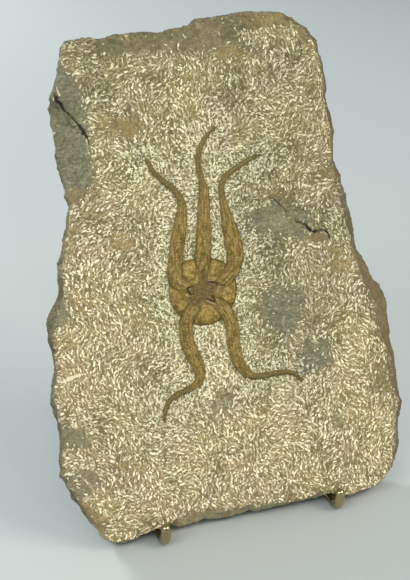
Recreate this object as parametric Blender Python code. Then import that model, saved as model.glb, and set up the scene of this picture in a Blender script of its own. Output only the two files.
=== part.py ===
"""Fossil brittle star on a slab of siltstone, leaning back in a stand bent from one brass wire.

Units are metres, +Z is up and the front of the slab looks along -Y. Lengths below are written in
millimetres and multiplied by MM where the geometry is made. Places on the stone are given in the
slab's own coordinates: u to the right, v up along the leaning face and w out of it, towards the viewer.
"""

import math
import random

import bmesh
import bpy
from mathutils import Vector, geometry

MM = 0.001

# Pose of the slab
LEAN = math.radians(20.0)  # the face leans back this far from upright
FACE_FOOT_Y = 0.3  # where the face's plane meets the table, behind the hooks' centre line
GAP = 0.3  # clearance left between pieces that touch

# Slab
THICKNESS = 14.0
BELT_DEPTHS = (4.5, 9.5)  # how far behind the face the two belts of the broken edge lie
BELT_WANDER = 0.6  # how far a belt strays from its depth
BELT_NARROWING = (0.5, 0.12)  # of the rear belt: a fixed part and a share of the swell
BACK_INSET = 1.8
BACK_RISE = 0.9  # how far the uneven back stands out behind its mean depth
LEFT_UNDERCUT = 0.42  # the left edge leans in behind the face by this much per millimetre of depth
ROUNDING = 0.5  # how far the face drops at its rim
ROUNDING_REACH = 3.0
TOP_DROP = 0.7  # how far the face falls away towards its top edge
FACE_GRID = 5.0
FACE_GRID_CLEARANCE = 1.7
BACK_GRID = 9.0
BACK_GRID_CLEARANCE = 3.0
EDGE_JAG = 0.7
FRONT_BELT_JAG_SHARE = 0.4
RIM_SPAN = 3.4  # longest straight run left in the broken rim
RIM_JAG = 0.3
NORMAL_SPAN = 3
LOWEST_POINT = 0.9  # height over the table of the stone's lowest points, between the wires

# The rim of the face, clockwise from the top left: u, v and how far the broken edge swells beyond it
RIM = [
    (-40.0, 146.8, 0.7), (-37.6, 148.4, 0.8), (-33.0, 148.5, 1.0), (-28.0, 148.5, 1.0),
    (-22.0, 149.5, 1.0), (-12.5, 149.0, 1.0), (-5.0, 150.0, 1.0), (3.5, 152.5, 1.0),
    (14.5, 153.5, 1.5), (27.5, 152.5, 1.5), (28.5, 150.5, 2.5), (34.0, 147.0, 3.0),
    (36.0, 143.5, 3.0), (37.5, 137.0, 3.0), (37.5, 128.0, 3.0), (38.5, 116.5, 3.5),
    (38.0, 109.5, 3.0), (39.0, 98.5, 4.0), (40.0, 91.0, 4.5), (41.5, 85.5, 4.0),
    (41.0, 80.5, 4.2), (42.8, 76.0, 4.4), (44.2, 69.5, 5.4), (46.0, 65.5, 6.0),
    (47.5, 61.5, 6.5), (47.5, 55.5, 7.0), (48.5, 52.5, 6.0), (49.5, 50.0, 4.5),
    (50.5, 45.0, 4.5), (50.5, 36.5, 4.5), (51.5, 30.0, 4.0), (50.0, 21.5, 4.0),
    (48.5, 15.0, 4.0), (47.0, 9.5, 3.0), (43.5, 5.8, 1.5), (33.5, 3.8, 0.8),
    (27.5, 5.4, 1.5), (23.0, 7.0, 2.5), (17.5, 6.0, 2.0), (7.0, 6.5, 2.5),
    (-9.0, 8.0, 4.0), (-14.0, 9.0, 4.5), (-19.0, 8.5, 4.5), (-26.0, 6.8, 3.0),
    (-31.5, 5.2, 1.5), (-39.5, 3.7, 0.4), (-42.8, 3.9, 0.4), (-44.8, 5.6, 1.0),
    (-47.5, 11.0, 1.0), (-50.0, 15.5, 1.0), (-52.5, 20.5, 1.0), (-55.5, 26.0, 0.5),
    (-55.0, 30.0, 0.5), (-54.0, 35.5, 0.5), (-54.0, 40.5, 0.5), (-55.0, 47.0, 1.0),
    (-53.5, 52.5, 0.5), (-53.0, 57.5, 0.5), (-52.0, 68.0, 2.0), (-50.0, 72.5, 2.5),
    (-48.0, 77.5, 1.5), (-48.0, 83.0, 1.0), (-45.0, 96.0, 0.5), (-43.5, 102.0, 0.5),
    (-43.8, 107.0, 0.3), (-45.2, 116.0, 0.3), (-44.9, 122.0, 0.3), (-45.4, 125.5, 0.3),
    (-45.7, 130.5, 0.3), (-44.9, 133.2, 0.3), (-43.2, 137.0, 0.3), (-41.4, 142.0, 0.3),
]

# The spall at the left edge: a crack, the higher facet right of it and the lower facet left of it
SPALL_CRACK = [(-44.3, 132.6), (-43.0, 129.7), (-40.8, 126.3), (-38.9, 123.9), (-37.6, 121.5), (-37.0, 119.2)]
SPALL_INNER = [(-40.9, 140.3), (-39.1, 139.8), (-38.6, 136.2), (-37.5, 131.1), (-36.7, 127.0), (-36.8, 122.8)]
SPALL_FOOT = [(-36.5, 112.6), (-37.3, 109.0), (-39.6, 106.9)]
SPALL_SLOPE = 0.36  # of the lower facet, falling to the left
SPALL_STEP = 0.45  # how far the higher facet sinks where it meets the crack

# The shallow hollow at the right, under a crack
HOLLOW_CRACK = [(11.7, 98.3), (15.8, 97.2), (19.4, 95.9), (22.2, 93.7), (24.4, 90.7), (27.9, 88.3),
                (31.0, 86.9), (35.0, 84.3)]
HOLLOW_DEPTH = 1.0
HOLLOW_REACH = 6.5
CRACK_WIDTH = 0.6

# Brittle star: the disc's centre on the slab, then each arm as points (u, v, width) from that centre
STAR_CENTRE = (-7.9, 73.7)
STAR_BED = (32.0, 50.0)  # half sizes of the flatter bed under the animal
STAR_BED_CENTRE = (-5.0, 78.0)
STAR_BED_SHARE = 0.12  # of the bedding plane's unevenness, left under the animal
DISC_RADIUS = 10.7
DISC_HEIGHT = 1.15
DISC_RINGS = [(0.25, 1.0), (0.5, 1.0), (0.7, 0.96), (0.86, 0.86), (0.96, 0.6), (1.0, 0.2)]  # radius, height
DISC_STEPS = 45
LOBE_SWELL = 0.2
LOBE_BULGE = 0.05  # how much further out a lobe reaches than the notch at an arm, as a share of the radius
ARM_HEIGHT = 0.62
ARM_HEIGHT_PER_WIDTH = 0.2
ARM_STATIONS = 24
ARMS = {
    "upper_left": [
        (-2.8, 0.5, 1.6), (-5.6, 1.6, 3.4), (-7.9, 3.4, 4.4), (-8.3, 6.4, 4.3), (-7.6, 10.4, 4.2),
        (-6.4, 14.0, 4.4), (-5.3, 18.0, 4.3), (-4.0, 22.6, 3.2), (-3.6, 26.4, 2.2), (-5.4, 30.1, 1.9),
        (-8.4, 32.9, 1.6), (-11.1, 36.2, 1.4), (-12.6, 39.5, 0.9),
    ],
    "top": [
        (0.1, 3.0, 1.6), (0.3, 5.6, 3.6), (0.8, 8.4, 4.6), (1.7, 12.6, 4.7), (2.2, 17.0, 4.3),
        (2.9, 23.0, 3.8), (3.6, 28.6, 3.0), (3.3, 32.0, 1.9), (2.9, 35.0, 1.6), (3.0, 38.5, 1.5),
        (4.1, 41.6, 1.4), (6.3, 44.7, 1.2), (9.2, 47.0, 0.8),
    ],
    "upper_right": [
        (2.9, 0.4, 1.6), (5.8, 1.5, 3.4), (8.3, 3.4, 4.3), (10.2, 6.0, 4.5), (11.1, 9.6, 4.6),
        (10.9, 13.6, 4.8), (10.2, 17.8, 4.2), (9.6, 22.0, 3.0), (9.2, 26.0, 2.1), (9.2, 29.6, 1.8),
        (10.6, 32.2, 1.8), (13.8, 34.2, 1.6), (18.2, 36.4, 1.3), (22.2, 37.7, 0.8),
    ],
    "lower_left": [
        (-1.2, -2.2, 1.6), (-3.0, -4.2, 3.4), (-5.2, -6.6, 4.3), (-6.5, -9.6, 4.4), (-6.7, -14.2, 4.3),
        (-5.5, -18.6, 4.2), (-4.1, -22.8, 3.9), (-4.4, -26.4, 2.7), (-7.4, -28.4, 1.9), (-11.0, -29.4, 1.6),
        (-14.1, -31.0, 1.5), (-15.7, -33.8, 1.3), (-16.4, -36.6, 0.8),
    ],
    "lower_right": [
        (1.7, -2.4, 1.6), (3.8, -4.6, 3.6), (6.2, -7.4, 4.4), (7.6, -11.4, 4.2), (7.6, -16.4, 4.2),
        (7.9, -21.0, 3.9), (9.8, -25.4, 3.1), (12.8, -27.8, 2.0), (16.3, -28.1, 1.6), (19.8, -28.0, 1.5),
        (23.8, -28.2, 1.4), (26.6, -29.6, 1.2), (28.0, -31.4, 0.8),
    ],
}
# Across an arm: place from -1 to 1 and share of the arm's height, with two side ridges and a middle row
ARM_PROFILE = [(-1.0, 0.1), (-0.86, 0.7), (-0.52, 1.0), (-0.2, 0.84), (0.0, 0.93), (0.2, 0.84), (0.52, 1.0),
               (0.86, 0.7), (1.0, 0.1)]
MOUTH_POINTS = [(0.1, 5.4), (5.2, 0.9), (3.0, -4.2), (-2.3, -3.9), (-5.1, 0.8)]
MOUTH_NECK = 0.76  # how far out the jaws' corners lie, as a share of the middle between two points
MOUTH_FLOOR = 0.7
MOUTH_WALL = [(0.82, MOUTH_FLOOR), (1.0, 1.6), (1.1, 4.0)]  # outline scale and height, from the floor up
STAR_DEPTH = 1.2  # how far arms are run below the bed before the underside is cut flat
BED_CUTTER_HALF = 70.0
BED_CUTTER_DEPTH = 10.0

# Wire stand
WIRE_RADIUS = 1.6
WIRE_SIDES = 12
HOOK_SPACING = 56.0
HOOK_TOP = 8.2
HOOK_BEND = 3.0
STAND_REAR = 70.0
REAR_BEND = 6.0
RAIL_V = 88.0  # how far up the slab the back rail touches it
RAIL_BEND = 7.0
BEND_STEPS = 5
WIRE_TIP_ANGLES = (75.0, 50.0, 25.0)  # rings of the rounded tip, in degrees from its side


def slab_point(u, v, w):
    """A place on the stone, from slab coordinates in millimetres to metres in the part's frame."""
    foot = Vector((0.0, FACE_FOOT_Y, 0.0))
    up_slope = Vector((0.0, math.sin(LEAN), math.cos(LEAN)))
    outward = Vector((0.0, -math.cos(LEAN), math.sin(LEAN)))
    return (foot + Vector((u, 0.0, 0.0)) + up_slope * v + outward * w) * MM


def smooth_step(low, high, x):
    t = min(max((x - low) / (high - low), 0.0), 1.0)
    return t * t * (3.0 - 2.0 * t)


def segment_distance(p, a, b):
    """Distance from p to the segment a-b, and whether p lies to the left of it."""
    ab = Vector(b) - Vector(a)
    ap = Vector(p) - Vector(a)
    share = min(max(ap.dot(ab) / ab.length_squared, 0.0), 1.0)
    return (ap - ab * share).length, ab.x * ap.y - ab.y * ap.x > 0.0


def line_distance(p, line):
    return min(segment_distance(p, a, b) for a, b in zip(line, line[1:]))


def inside(p, loop):
    """Even-odd test of a point against a closed outline."""
    crossings = 0
    for a, b in zip(loop, loop[1:] + loop[:1]):
        if (a[1] > p[1]) != (b[1] > p[1]) and p[0] < a[0] + (p[1] - a[1]) * (b[0] - a[0]) / (b[1] - a[1]):
            crossings += 1
    return crossings % 2 == 1


def offset_line(line, distance):
    """The line moved sideways, to its right for a positive distance, with its two ends kept."""
    moved = []
    for before, here, after in zip(line, line[1:], line[2:]):
        along = (Vector(after) - Vector(before)).normalized()
        moved.append((here[0] + along.y * distance, here[1] - along.x * distance))
    return moved


def broken_rim():
    """The rim with its longer runs broken up by small chips: u, v and swell of each point."""
    dice = random.Random(11)
    points = []
    for here, after in zip(RIM, RIM[1:] + RIM[:1]):
        start = Vector(here)
        run = Vector(after) - start
        outward = Vector((-run.y, run.x, 0.0)).normalized()
        pieces = max(1, math.ceil(run.xy.length / RIM_SPAN))
        points.append(tuple(start))
        for k in range(1, pieces):
            share = (k + dice.uniform(-0.25, 0.25)) / pieces
            points.append(tuple(start + run * share + outward * dice.uniform(-RIM_JAG, RIM_JAG)))
    return points


BROKEN_RIM = broken_rim()
RIM_LOOP = [(u, v) for u, v, _ in BROKEN_RIM]
HIGHER_FACET = SPALL_INNER + SPALL_CRACK[::-1] + [(-47.0, 134.5), (-46.0, 141.0)]
LOWER_FACET = SPALL_CRACK + SPALL_FOOT + [(-50.0, 104.5), (-50.0, 134.5)]


def bed_swell(u, v):
    """The natural unevenness of the bedding plane, which nearly dies away under the animal."""
    swell = 0.28 * math.sin(u / 15.0 + 0.6) * math.cos(v / 21.0) + 0.17 * math.sin(v / 10.0 + u / 26.0)
    away = math.hypot((u - STAR_BED_CENTRE[0]) / STAR_BED[0], (v - STAR_BED_CENTRE[1]) / STAR_BED[1])
    return (swell - 0.25) * (STAR_BED_SHARE + (1.0 - STAR_BED_SHARE) * smooth_step(0.9, 1.5, away))


def face_height(u, v):
    """Height w of the slab's face over its plane."""
    height = bed_swell(u, v)
    rim_distance = line_distance((u, v), RIM_LOOP + RIM_LOOP[:1])[0]
    height -= ROUNDING * (1.0 - smooth_step(0.0, ROUNDING_REACH, rim_distance))
    height -= TOP_DROP * smooth_step(141.0, 152.0, v)
    if inside((u, v), LOWER_FACET):
        height -= SPALL_SLOPE * max(0.0, SPALL_CRACK[-1][0] - u)
    elif inside((u, v), HIGHER_FACET):
        to_crack = line_distance((u, v), SPALL_CRACK)[0]
        to_face = line_distance((u, v), SPALL_INNER)[0]
        height -= SPALL_STEP * to_face / (to_face + to_crack + 0.01)
    below, left = line_distance((u, v), HOLLOW_CRACK)
    if not left:
        ends = smooth_step(9.0, 17.0, u) * (1.0 - smooth_step(31.0, 37.0, u))
        height -= HOLLOW_DEPTH * ends * (1.0 - smooth_step(0.0, HOLLOW_REACH, below))
    return height


def back_height(u, v):
    """Depth w of the slab's natural back."""
    swell = 0.5 * math.sin(u / 13.0 + 1.0) * math.cos(v / 19.0) - 0.35 * math.sin(v / 9.0 - u / 17.0)
    return swell - THICKNESS


def material(name, colour, roughness, metallic=0.0):
    made = bpy.data.materials.new(name)
    made.use_nodes = True
    shader = made.node_tree.nodes["Principled BSDF"]
    shader.inputs["Base Color"].default_value = (*colour, 1.0)
    shader.inputs["Roughness"].default_value = roughness
    shader.inputs["Metallic"].default_value = metallic
    return made


def add_object(name, verts, faces, finish):
    mesh = bpy.data.meshes.new(name)
    mesh.from_pydata(verts, [], faces)
    shape = bmesh.new()
    shape.from_mesh(mesh)
    bmesh.ops.recalc_face_normals(shape, faces=shape.faces)
    shape.to_mesh(mesh)
    shape.free()
    mesh.materials.append(finish)
    made = bpy.data.objects.new(name, mesh)
    bpy.context.collection.objects.link(made)
    return made


def as_helper(helper):
    helper.hide_render = True
    helper.display_type = "WIRE"


def grid_points(loop, spacing, clearance, lines=()):
    """Points of a triangular grid inside an outline, kept off it and off the given lines."""
    low_u = min(p[0] for p in loop)
    high_u = max(p[0] for p in loop)
    low_v = min(p[1] for p in loop)
    high_v = max(p[1] for p in loop)
    row_height = spacing * math.sqrt(0.75)
    closed = loop + loop[:1]
    points = []
    for row in range(int((high_v - low_v) / row_height) + 1):
        for column in range(int((high_u - low_u) / spacing) + 2):
            p = (low_u + (column + 0.5 * (row % 2)) * spacing, low_v + row * row_height)
            clear = all(line_distance(p, line)[0] > clearance for line in lines)
            if clear and inside(p, loop) and line_distance(p, closed)[0] > clearance:
                points.append(p)
    return points


def triangulate(loop, points, lines=()):
    """Triangles over an outline, through the points and along the lines: (all points, faces)."""
    coords = [Vector(p) for p in loop]
    edges = []
    for line in lines:
        first = len(coords)
        coords += [Vector(p) for p in line]
        edges += [(first + i, first + i + 1) for i in range(len(line) - 1)]
    coords += [Vector(p) for p in points]
    outline = list(range(len(loop)))
    verts, _, faces, sources, _, _ = geometry.delaunay_2d_cdt(coords, edges, [outline], 1, 1e-5)
    order = {source: i for i, found in enumerate(sources) for source in found}
    rim = [order[i] for i in outline]
    return [tuple(p) for p in verts], faces, rim


def edge_normals(loop):
    """Outward direction at each point of a clockwise outline, evened out over its neighbours."""
    normals = []
    for i in range(len(loop)):
        before = Vector(loop[i - NORMAL_SPAN])
        after = Vector(loop[(i + NORMAL_SPAN) % len(loop)])
        along = (after - before).normalized()
        normals.append(Vector((-along.y, along.x)))
    return normals


def rest_height(u):
    """How low the stone may reach: just over the wires at the hooks, nearly to the table elsewhere."""
    from_wire = abs(abs(u) - HOOK_SPACING / 2.0)
    over_wire = 2.0 * WIRE_RADIUS + GAP + 0.05
    beside = smooth_step(WIRE_RADIUS + 1.2, WIRE_RADIUS + 5.0, from_wire)
    return over_wire + (LOWEST_POINT - over_wire) * beside


def kept_off_the_table(u, v, w):
    """The same place, moved up the slope where it would reach too low."""
    lowest_v = (rest_height(u) - w * math.sin(LEAN)) / math.cos(LEAN)
    return (u, max(v, lowest_v), w)


def undercut(normal, depth):
    return LEFT_UNDERCUT * max(0.0, -normal.x) * (depth - BELT_DEPTHS[0])


def make_slab(finish):
    """One closed stone: a worked face, a broken edge in three facets round it and a natural back."""
    dice = random.Random(7)
    lines = [SPALL_CRACK, offset_line(SPALL_CRACK, CRACK_WIDTH), SPALL_INNER, SPALL_CRACK[-1:] + SPALL_FOOT,
             HOLLOW_CRACK, offset_line(HOLLOW_CRACK, CRACK_WIDTH)]
    face_points = grid_points(RIM_LOOP, FACE_GRID, FACE_GRID_CLEARANCE, lines)
    points, face_faces, rim = triangulate(RIM_LOOP, face_points, lines)
    places = [kept_off_the_table(u, v, face_height(u, v)) for u, v in points]
    faces = [list(face) for face in face_faces]

    normals = edge_normals(RIM_LOOP)
    loops = [rim]
    for depth in BELT_DEPTHS:
        loop = []
        for i, (u, v, swell) in enumerate(BROKEN_RIM):
            jag = dice.uniform(-EDGE_JAG, EDGE_JAG)
            if depth == BELT_DEPTHS[0]:
                out = swell + jag * FRONT_BELT_JAG_SHARE
            else:
                out = swell + jag - BELT_NARROWING[0] - BELT_NARROWING[1] * swell - undercut(normals[i], depth)
            place = Vector((u, v)) + normals[i] * out
            w = min(-depth + dice.uniform(-BELT_WANDER, BELT_WANDER), places[rim[i]][2] - 2.0 * BELT_WANDER)
            loop.append(len(places))
            places.append(kept_off_the_table(place.x, place.y, w))
        loops.append(loop)

    back_loop = []
    for i, (u, v, swell) in enumerate(BROKEN_RIM):
        out = 0.5 * swell - BACK_INSET - undercut(normals[i], THICKNESS) + dice.uniform(-RIM_JAG, RIM_JAG)
        place = Vector((u, v)) + normals[i] * out
        w = back_height(place.x, place.y)
        back_loop.append(kept_off_the_table(place.x, place.y, w)[:2])
    back_grid = grid_points(back_loop, BACK_GRID, BACK_GRID_CLEARANCE)
    back_points, back_faces, back_rim = triangulate(back_loop, back_grid)
    first = len(places)
    places += [(u, v, back_height(u, v)) for u, v in back_points]
    faces += [[first + i for i in face][::-1] for face in back_faces]
    loops.append([first + i for i in back_rim])

    for front, behind in zip(loops, loops[1:]):
        for i in range(len(front)):
            j = (i + 1) % len(front)
            faces.append([front[i], behind[i], behind[j]])
            faces.append([front[i], behind[j], front[j]])
    return add_object("slab", [slab_point(*place) for place in places], faces, finish)


def smooth_route(points, stations):
    """Catmull-Rom route through points of any dimension, with evenly shared stations."""
    ends = [points[0]] + list(points) + [points[-1]]
    vectors = [Vector(p) for p in ends]
    spans = len(points) - 1
    route = []
    for i in range(stations):
        place = i / (stations - 1) * spans
        k = min(int(place), spans - 1)
        t = place - k
        a, b, c, d = vectors[k:k + 4]
        route.append(0.5 * (2.0 * b + (c - a) * t + (2.0 * a - 5.0 * b + 4.0 * c - d) * t ** 2
                            + (3.0 * b - a - 3.0 * c + d) * t ** 3))
    return route


def tube_faces(rings):
    """Quads between rings of point numbers, and a fan over each end."""
    faces = [rings[0][::-1], rings[-1]]
    for near, far in zip(rings, rings[1:]):
        for i in range(len(near)):
            j = (i + 1) % len(near)
            faces.append([near[i], near[j], far[j], far[i]])
    return faces


def make_arm(name, points, finish):
    """One arm: the ridged profile carried along its route, tapering to the tip."""
    route = smooth_route(points, ARM_STATIONS)
    verts = []
    rings = []
    for i, (u, v, width) in enumerate(route):
        before = route[max(i - 1, 0)]
        after = route[min(i + 1, len(route) - 1)]
        along = Vector((after.x - before.x, after.y - before.y)).normalized()
        height = ARM_HEIGHT + ARM_HEIGHT_PER_WIDTH * width
        ring = []
        for across, share in [(-1.0, None)] + ARM_PROFILE + [(1.0, None)]:
            w = -STAR_DEPTH if share is None else height * share
            reach = across * width / 2.0
            place = (STAR_CENTRE[0] + u - along.y * reach, STAR_CENTRE[1] + v + along.x * reach)
            ring.append(len(verts))
            verts.append(slab_point(place[0], place[1], w))
        rings.append(ring)
    arm = add_object("arm_" + name, verts, tube_faces(rings), finish)
    as_helper(arm)
    return arm


def arm_bearings():
    return [math.atan2(v, u) for u, v in MOUTH_POINTS]


def make_disc(finish):
    """The central disc: a low dome whose five lobes swell between the arms."""
    bearings = arm_bearings()
    verts = [slab_point(*STAR_CENTRE, DISC_HEIGHT)]
    rings = []
    for share, height in DISC_RINGS + [(1.0, None)]:
        ring = []
        for step in range(DISC_STEPS):
            angle = 2.0 * math.pi * step / DISC_STEPS
            nearest = min(abs(math.remainder(angle - bearing, 2.0 * math.pi)) for bearing in bearings)
            lobe = smooth_step(0.25, 0.62, nearest)
            radius = DISC_RADIUS * share * (1.0 - LOBE_BULGE * (1.0 - lobe))
            if height is None:
                w = -1.5 * STAR_DEPTH
            else:
                w = DISC_HEIGHT * height + LOBE_SWELL * lobe * math.sin(math.pi * share)
            ring.append(len(verts))
            verts.append(slab_point(STAR_CENTRE[0] + radius * math.cos(angle),
                                    STAR_CENTRE[1] + radius * math.sin(angle), w))
        rings.append(ring)
    faces = [[0, rings[0][i], rings[0][(i + 1) % DISC_STEPS]] for i in range(DISC_STEPS)]
    faces += tube_faces(rings)[1:]
    return add_object("brittle_star", verts, faces, finish)


def make_mouth_cutter():
    """A five-pointed recess with sloping walls, its points towards the arms."""
    outline = []
    for i, point in enumerate(MOUTH_POINTS):
        following = MOUTH_POINTS[(i + 1) % len(MOUTH_POINTS)]
        outline.append(Vector(point))
        outline.append((Vector(point) + Vector(following)) * 0.5 * MOUTH_NECK)
    verts = []
    rings = []
    for scale, w in MOUTH_WALL:
        ring = []
        for corner in outline:
            ring.append(len(verts))
            verts.append(slab_point(STAR_CENTRE[0] + corner.x * scale, STAR_CENTRE[1] + corner.y * scale, w))
        rings.append(ring)
    cutter = add_object("mouth_cutter", verts, tube_faces(rings), bpy.data.materials["fossil"])
    as_helper(cutter)
    return cutter


def make_bed_cutter():
    """A block whose top is the plane that the animal's underside is cut to, just clear of the stone."""
    half = BED_CUTTER_HALF
    verts = [slab_point(STAR_CENTRE[0] + x * half, STAR_CENTRE[1] + y * half, w)
             for w in (-BED_CUTTER_DEPTH, GAP) for x, y in ((-1, -1), (1, -1), (1, 1), (-1, 1))]
    cutter = add_object("bed_cutter", verts, tube_faces([[0, 1, 2, 3], [4, 5, 6, 7]]),
                        bpy.data.materials["fossil"])
    as_helper(cutter)
    return cutter


def add_boolean(target, operation, other):
    step = target.modifiers.new(operation.lower() + "_" + other.name, "BOOLEAN")
    step.operation = operation
    step.solver = "EXACT"
    step.object = other


def make_star(finish):
    """Disc and arms joined into one animal, with the mouth sunk in and the underside flat."""
    star = make_disc(finish)
    for name, points in ARMS.items():
        add_boolean(star, "UNION", make_arm(name, points, finish))
    add_boolean(star, "DIFFERENCE", make_mouth_cutter())
    add_boolean(star, "DIFFERENCE", make_bed_cutter())
    return star


def rounded_route(corners, bends):
    """A route through corners, each turned on an arc of its own radius."""
    route = [corners[0]]
    for before, corner, after, radius in zip(corners, corners[1:], corners[2:], bends):
        into = (corner - before).normalized()
        out = (after - corner).normalized()
        turn = into.angle(out)
        back = radius * math.tan(turn / 2.0)
        start = corner - into * back
        toward = (out - into * into.dot(out)).normalized()
        for step in range(BEND_STEPS + 1):
            angle = turn * step / BEND_STEPS
            route.append(start + into * radius * math.sin(angle) + toward * radius * (1.0 - math.cos(angle)))
    route.append(corners[-1])
    return route


def make_stand(finish):
    """One wire: hook, run back on the table, up behind the slab, across it and down the same way."""
    half = HOOK_SPACING / 2.0
    run_height = WIRE_RADIUS * math.cos(math.pi / WIRE_SIDES)
    rail_w = -THICKNESS - BACK_RISE - WIRE_RADIUS - GAP
    rail = slab_point(0.0, RAIL_V, rail_w) / MM
    corners = [Vector((-half, 0.0, HOOK_TOP - WIRE_RADIUS)), Vector((-half, 0.0, run_height)),
               Vector((-half, STAND_REAR, run_height)), Vector((-half, rail.y, rail.z))]
    corners += [Vector((-p.x, p.y, p.z)) for p in reversed(corners)]
    bends = [HOOK_BEND, REAR_BEND, RAIL_BEND, RAIL_BEND, REAR_BEND, HOOK_BEND]
    route = rounded_route(corners, bends)

    verts = []
    rings = []
    along = Vector((0.0, 0.0, -1.0))
    side = Vector((1.0, 0.0, 0.0))
    tip = [(math.cos(math.radians(d)), math.sin(math.radians(d))) for d in WIRE_TIP_ANGLES]
    stations = [(route[0] - along * WIRE_RADIUS * rise, shrink) for shrink, rise in tip]
    stations += [(p, 1.0) for p in route]
    stations += [(route[-1] - along * WIRE_RADIUS * rise, shrink) for shrink, rise in reversed(tip)]
    for i, (centre, size) in enumerate(stations):
        before = stations[max(i - 1, 0)][0]
        after = stations[min(i + 1, len(stations) - 1)][0]
        new_along = (after - before).normalized()
        side = along.rotation_difference(new_along) @ side
        along = new_along
        up = along.cross(side)
        ring = []
        for k in range(WIRE_SIDES):
            angle = 2.0 * math.pi * (k + 0.5) / WIRE_SIDES
            offset = (side * math.cos(angle) + up * math.sin(angle)) * WIRE_RADIUS * size
            ring.append(len(verts))
            verts.append((centre + offset) * MM)
        rings.append(ring)
    stand = add_object("wire_stand", verts, tube_faces(rings), finish)
    stand.data.shade_smooth()
    stand.data.set_sharp_from_angle(angle=math.radians(35.0))
    return stand


def stand_on_origin(pieces, helpers):
    """Moves everything so that the origin is on the table, under the middle of the whole object."""
    bpy.context.view_layer.update()
    corners = [piece.matrix_world @ v.co for piece in pieces for v in piece.data.vertices]
    middle_x = (min(c.x for c in corners) + max(c.x for c in corners)) / 2.0
    middle_y = (min(c.y for c in corners) + max(c.y for c in corners)) / 2.0
    shift = Vector((-middle_x, -middle_y, -min(c.z for c in corners)))
    for piece in pieces + helpers:
        piece.location = shift


for leftover in list(bpy.data.objects):
    bpy.data.objects.remove(leftover)

stone = material("siltstone", (0.36, 0.30, 0.19), 0.85)
calcite = material("fossil", (0.26, 0.17, 0.06), 0.6)
brass = material("brass_wire", (0.62, 0.50, 0.25), 0.3, 1.0)

slab = make_slab(stone)
star = make_star(calcite)
stand = make_stand(brass)
helpers = [helper for helper in bpy.data.objects if helper.hide_render]
stand_on_origin([slab, stand], helpers + [star])
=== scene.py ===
"""The looks of a fossil brittle star on a slab of siltstone, in a stand bent from one brass wire.

Lengths are in millimetres and are turned into metres by MM. Places on the stone are in the slab's own
coordinates: u to the right, v up along the leaning face and w out of it, towards the viewer.
"""

import math

import bpy
import numpy as np
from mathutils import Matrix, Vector, noise
from mathutils.bvhtree import BVHTree
from mathutils.kdtree import KDTree


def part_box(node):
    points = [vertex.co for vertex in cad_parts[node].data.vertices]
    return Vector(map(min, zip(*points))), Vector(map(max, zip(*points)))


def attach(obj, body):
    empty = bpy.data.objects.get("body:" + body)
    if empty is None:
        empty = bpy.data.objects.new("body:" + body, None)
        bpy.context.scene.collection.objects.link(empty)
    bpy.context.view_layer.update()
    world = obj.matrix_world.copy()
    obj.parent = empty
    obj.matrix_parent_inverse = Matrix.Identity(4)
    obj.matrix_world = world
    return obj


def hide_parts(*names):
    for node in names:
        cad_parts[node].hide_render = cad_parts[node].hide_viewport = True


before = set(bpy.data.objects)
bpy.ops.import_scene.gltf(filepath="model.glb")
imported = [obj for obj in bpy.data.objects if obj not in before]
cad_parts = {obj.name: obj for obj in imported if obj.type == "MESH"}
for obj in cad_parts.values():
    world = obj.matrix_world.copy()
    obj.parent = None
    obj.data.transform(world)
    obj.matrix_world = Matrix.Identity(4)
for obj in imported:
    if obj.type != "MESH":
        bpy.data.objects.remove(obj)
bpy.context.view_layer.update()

# ---------------------------------------------------------------------------------------------------
# The slab
# A slab of grey-brown siltstone, split from its bed and broken to an uneven outline. Its face was cut
# down to the animal's level with an air scribe, whose short strokes bruised the stone to cream.
# ---------------------------------------------------------------------------------------------------

MM = 0.001
FAR = 1e9  # farther than anything, in millimetres
LEAN = math.radians(20.0)
SLAB_FOOT = Vector((0.081, -33.597, 0.0)) * MM  # where u, v and w are zero, in the row frame
UP_SLOPE = Vector((0.0, math.sin(LEAN), math.cos(LEAN)))
OUTWARD = Vector((0.0, -math.cos(LEAN), math.sin(LEAN)))
REGION_FACE, REGION_EDGE, REGION_BACK = 0, 1, 2
FACE_DEPTH, SPALL_DEPTH, BACK_DEPTH = -2.1, -4.2, -12.4  # the w that bound the face, the spall and the back
STEEP = 0.8  # a facet whose normal leans farther from the face's than this cosine is a broken edge
SLAB_CUTS = 7  # of each edge of the CAD solid, to make room for the relief
MERGE_DISTANCE = 0.002 * MM

# Lines on the face, as u, v and half width, drawn dark as painted shadow: the crack over the spall, those in the grey
# hollow with their near-black cores, and fine lines of painted shade along small steps and recesses
SPALL_CRACK = [
    (-44.2, 133.8, 0.15), (-43.8, 132.4, 0.7), (-43.1, 131.2, 0.7), (-42.3, 130.1, 0.42), (-41.6, 129.1, 0.28),
    (-40.5, 127.6, 0.18), (-39.4, 126.1, 0.18), (-38.6, 125.0, 0.2), (-38.0, 123.8, 0.35), (-37.4, 122.4, 0.5),
    (-36.7, 121.4, 0.25), (-36.3, 120.2, 0.15), (-36.2, 118.7, 0.08),
]
HOLLOW_CRACKS = [
    [
        (16.7, 98.6, 0.1), (18.2, 97.7, 0.16), (19.6, 96.3, 0.14), (20.8, 95.3, 0.18), (21.6, 94.5, 0.22),
        (22.1, 93.4, 0.1),
    ],
    [
        (24.5, 90.5, 0.12), (26.4, 89.6, 0.2), (27.7, 88.8, 0.32), (28.8, 87.6, 0.56), (29.9, 86.7, 0.58),
        (31.1, 86.7, 0.4), (32.4, 86.9, 0.34), (33.8, 86.7, 0.4), (34.5, 85.9, 0.44), (34.9, 84.8, 0.4),
        (35.4, 83.6, 0.15),
    ],
]
HOLLOW_CORES = [
    [(28.0, 88.6, 0.12), (28.8, 87.6, 0.34), (29.8, 86.8, 0.36), (31.1, 86.7, 0.15)],
    [(33.6, 86.7, 0.08), (34.5, 85.8, 0.22), (34.9, 84.8, 0.2), (35.3, 83.8, 0.08)],
]
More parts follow.
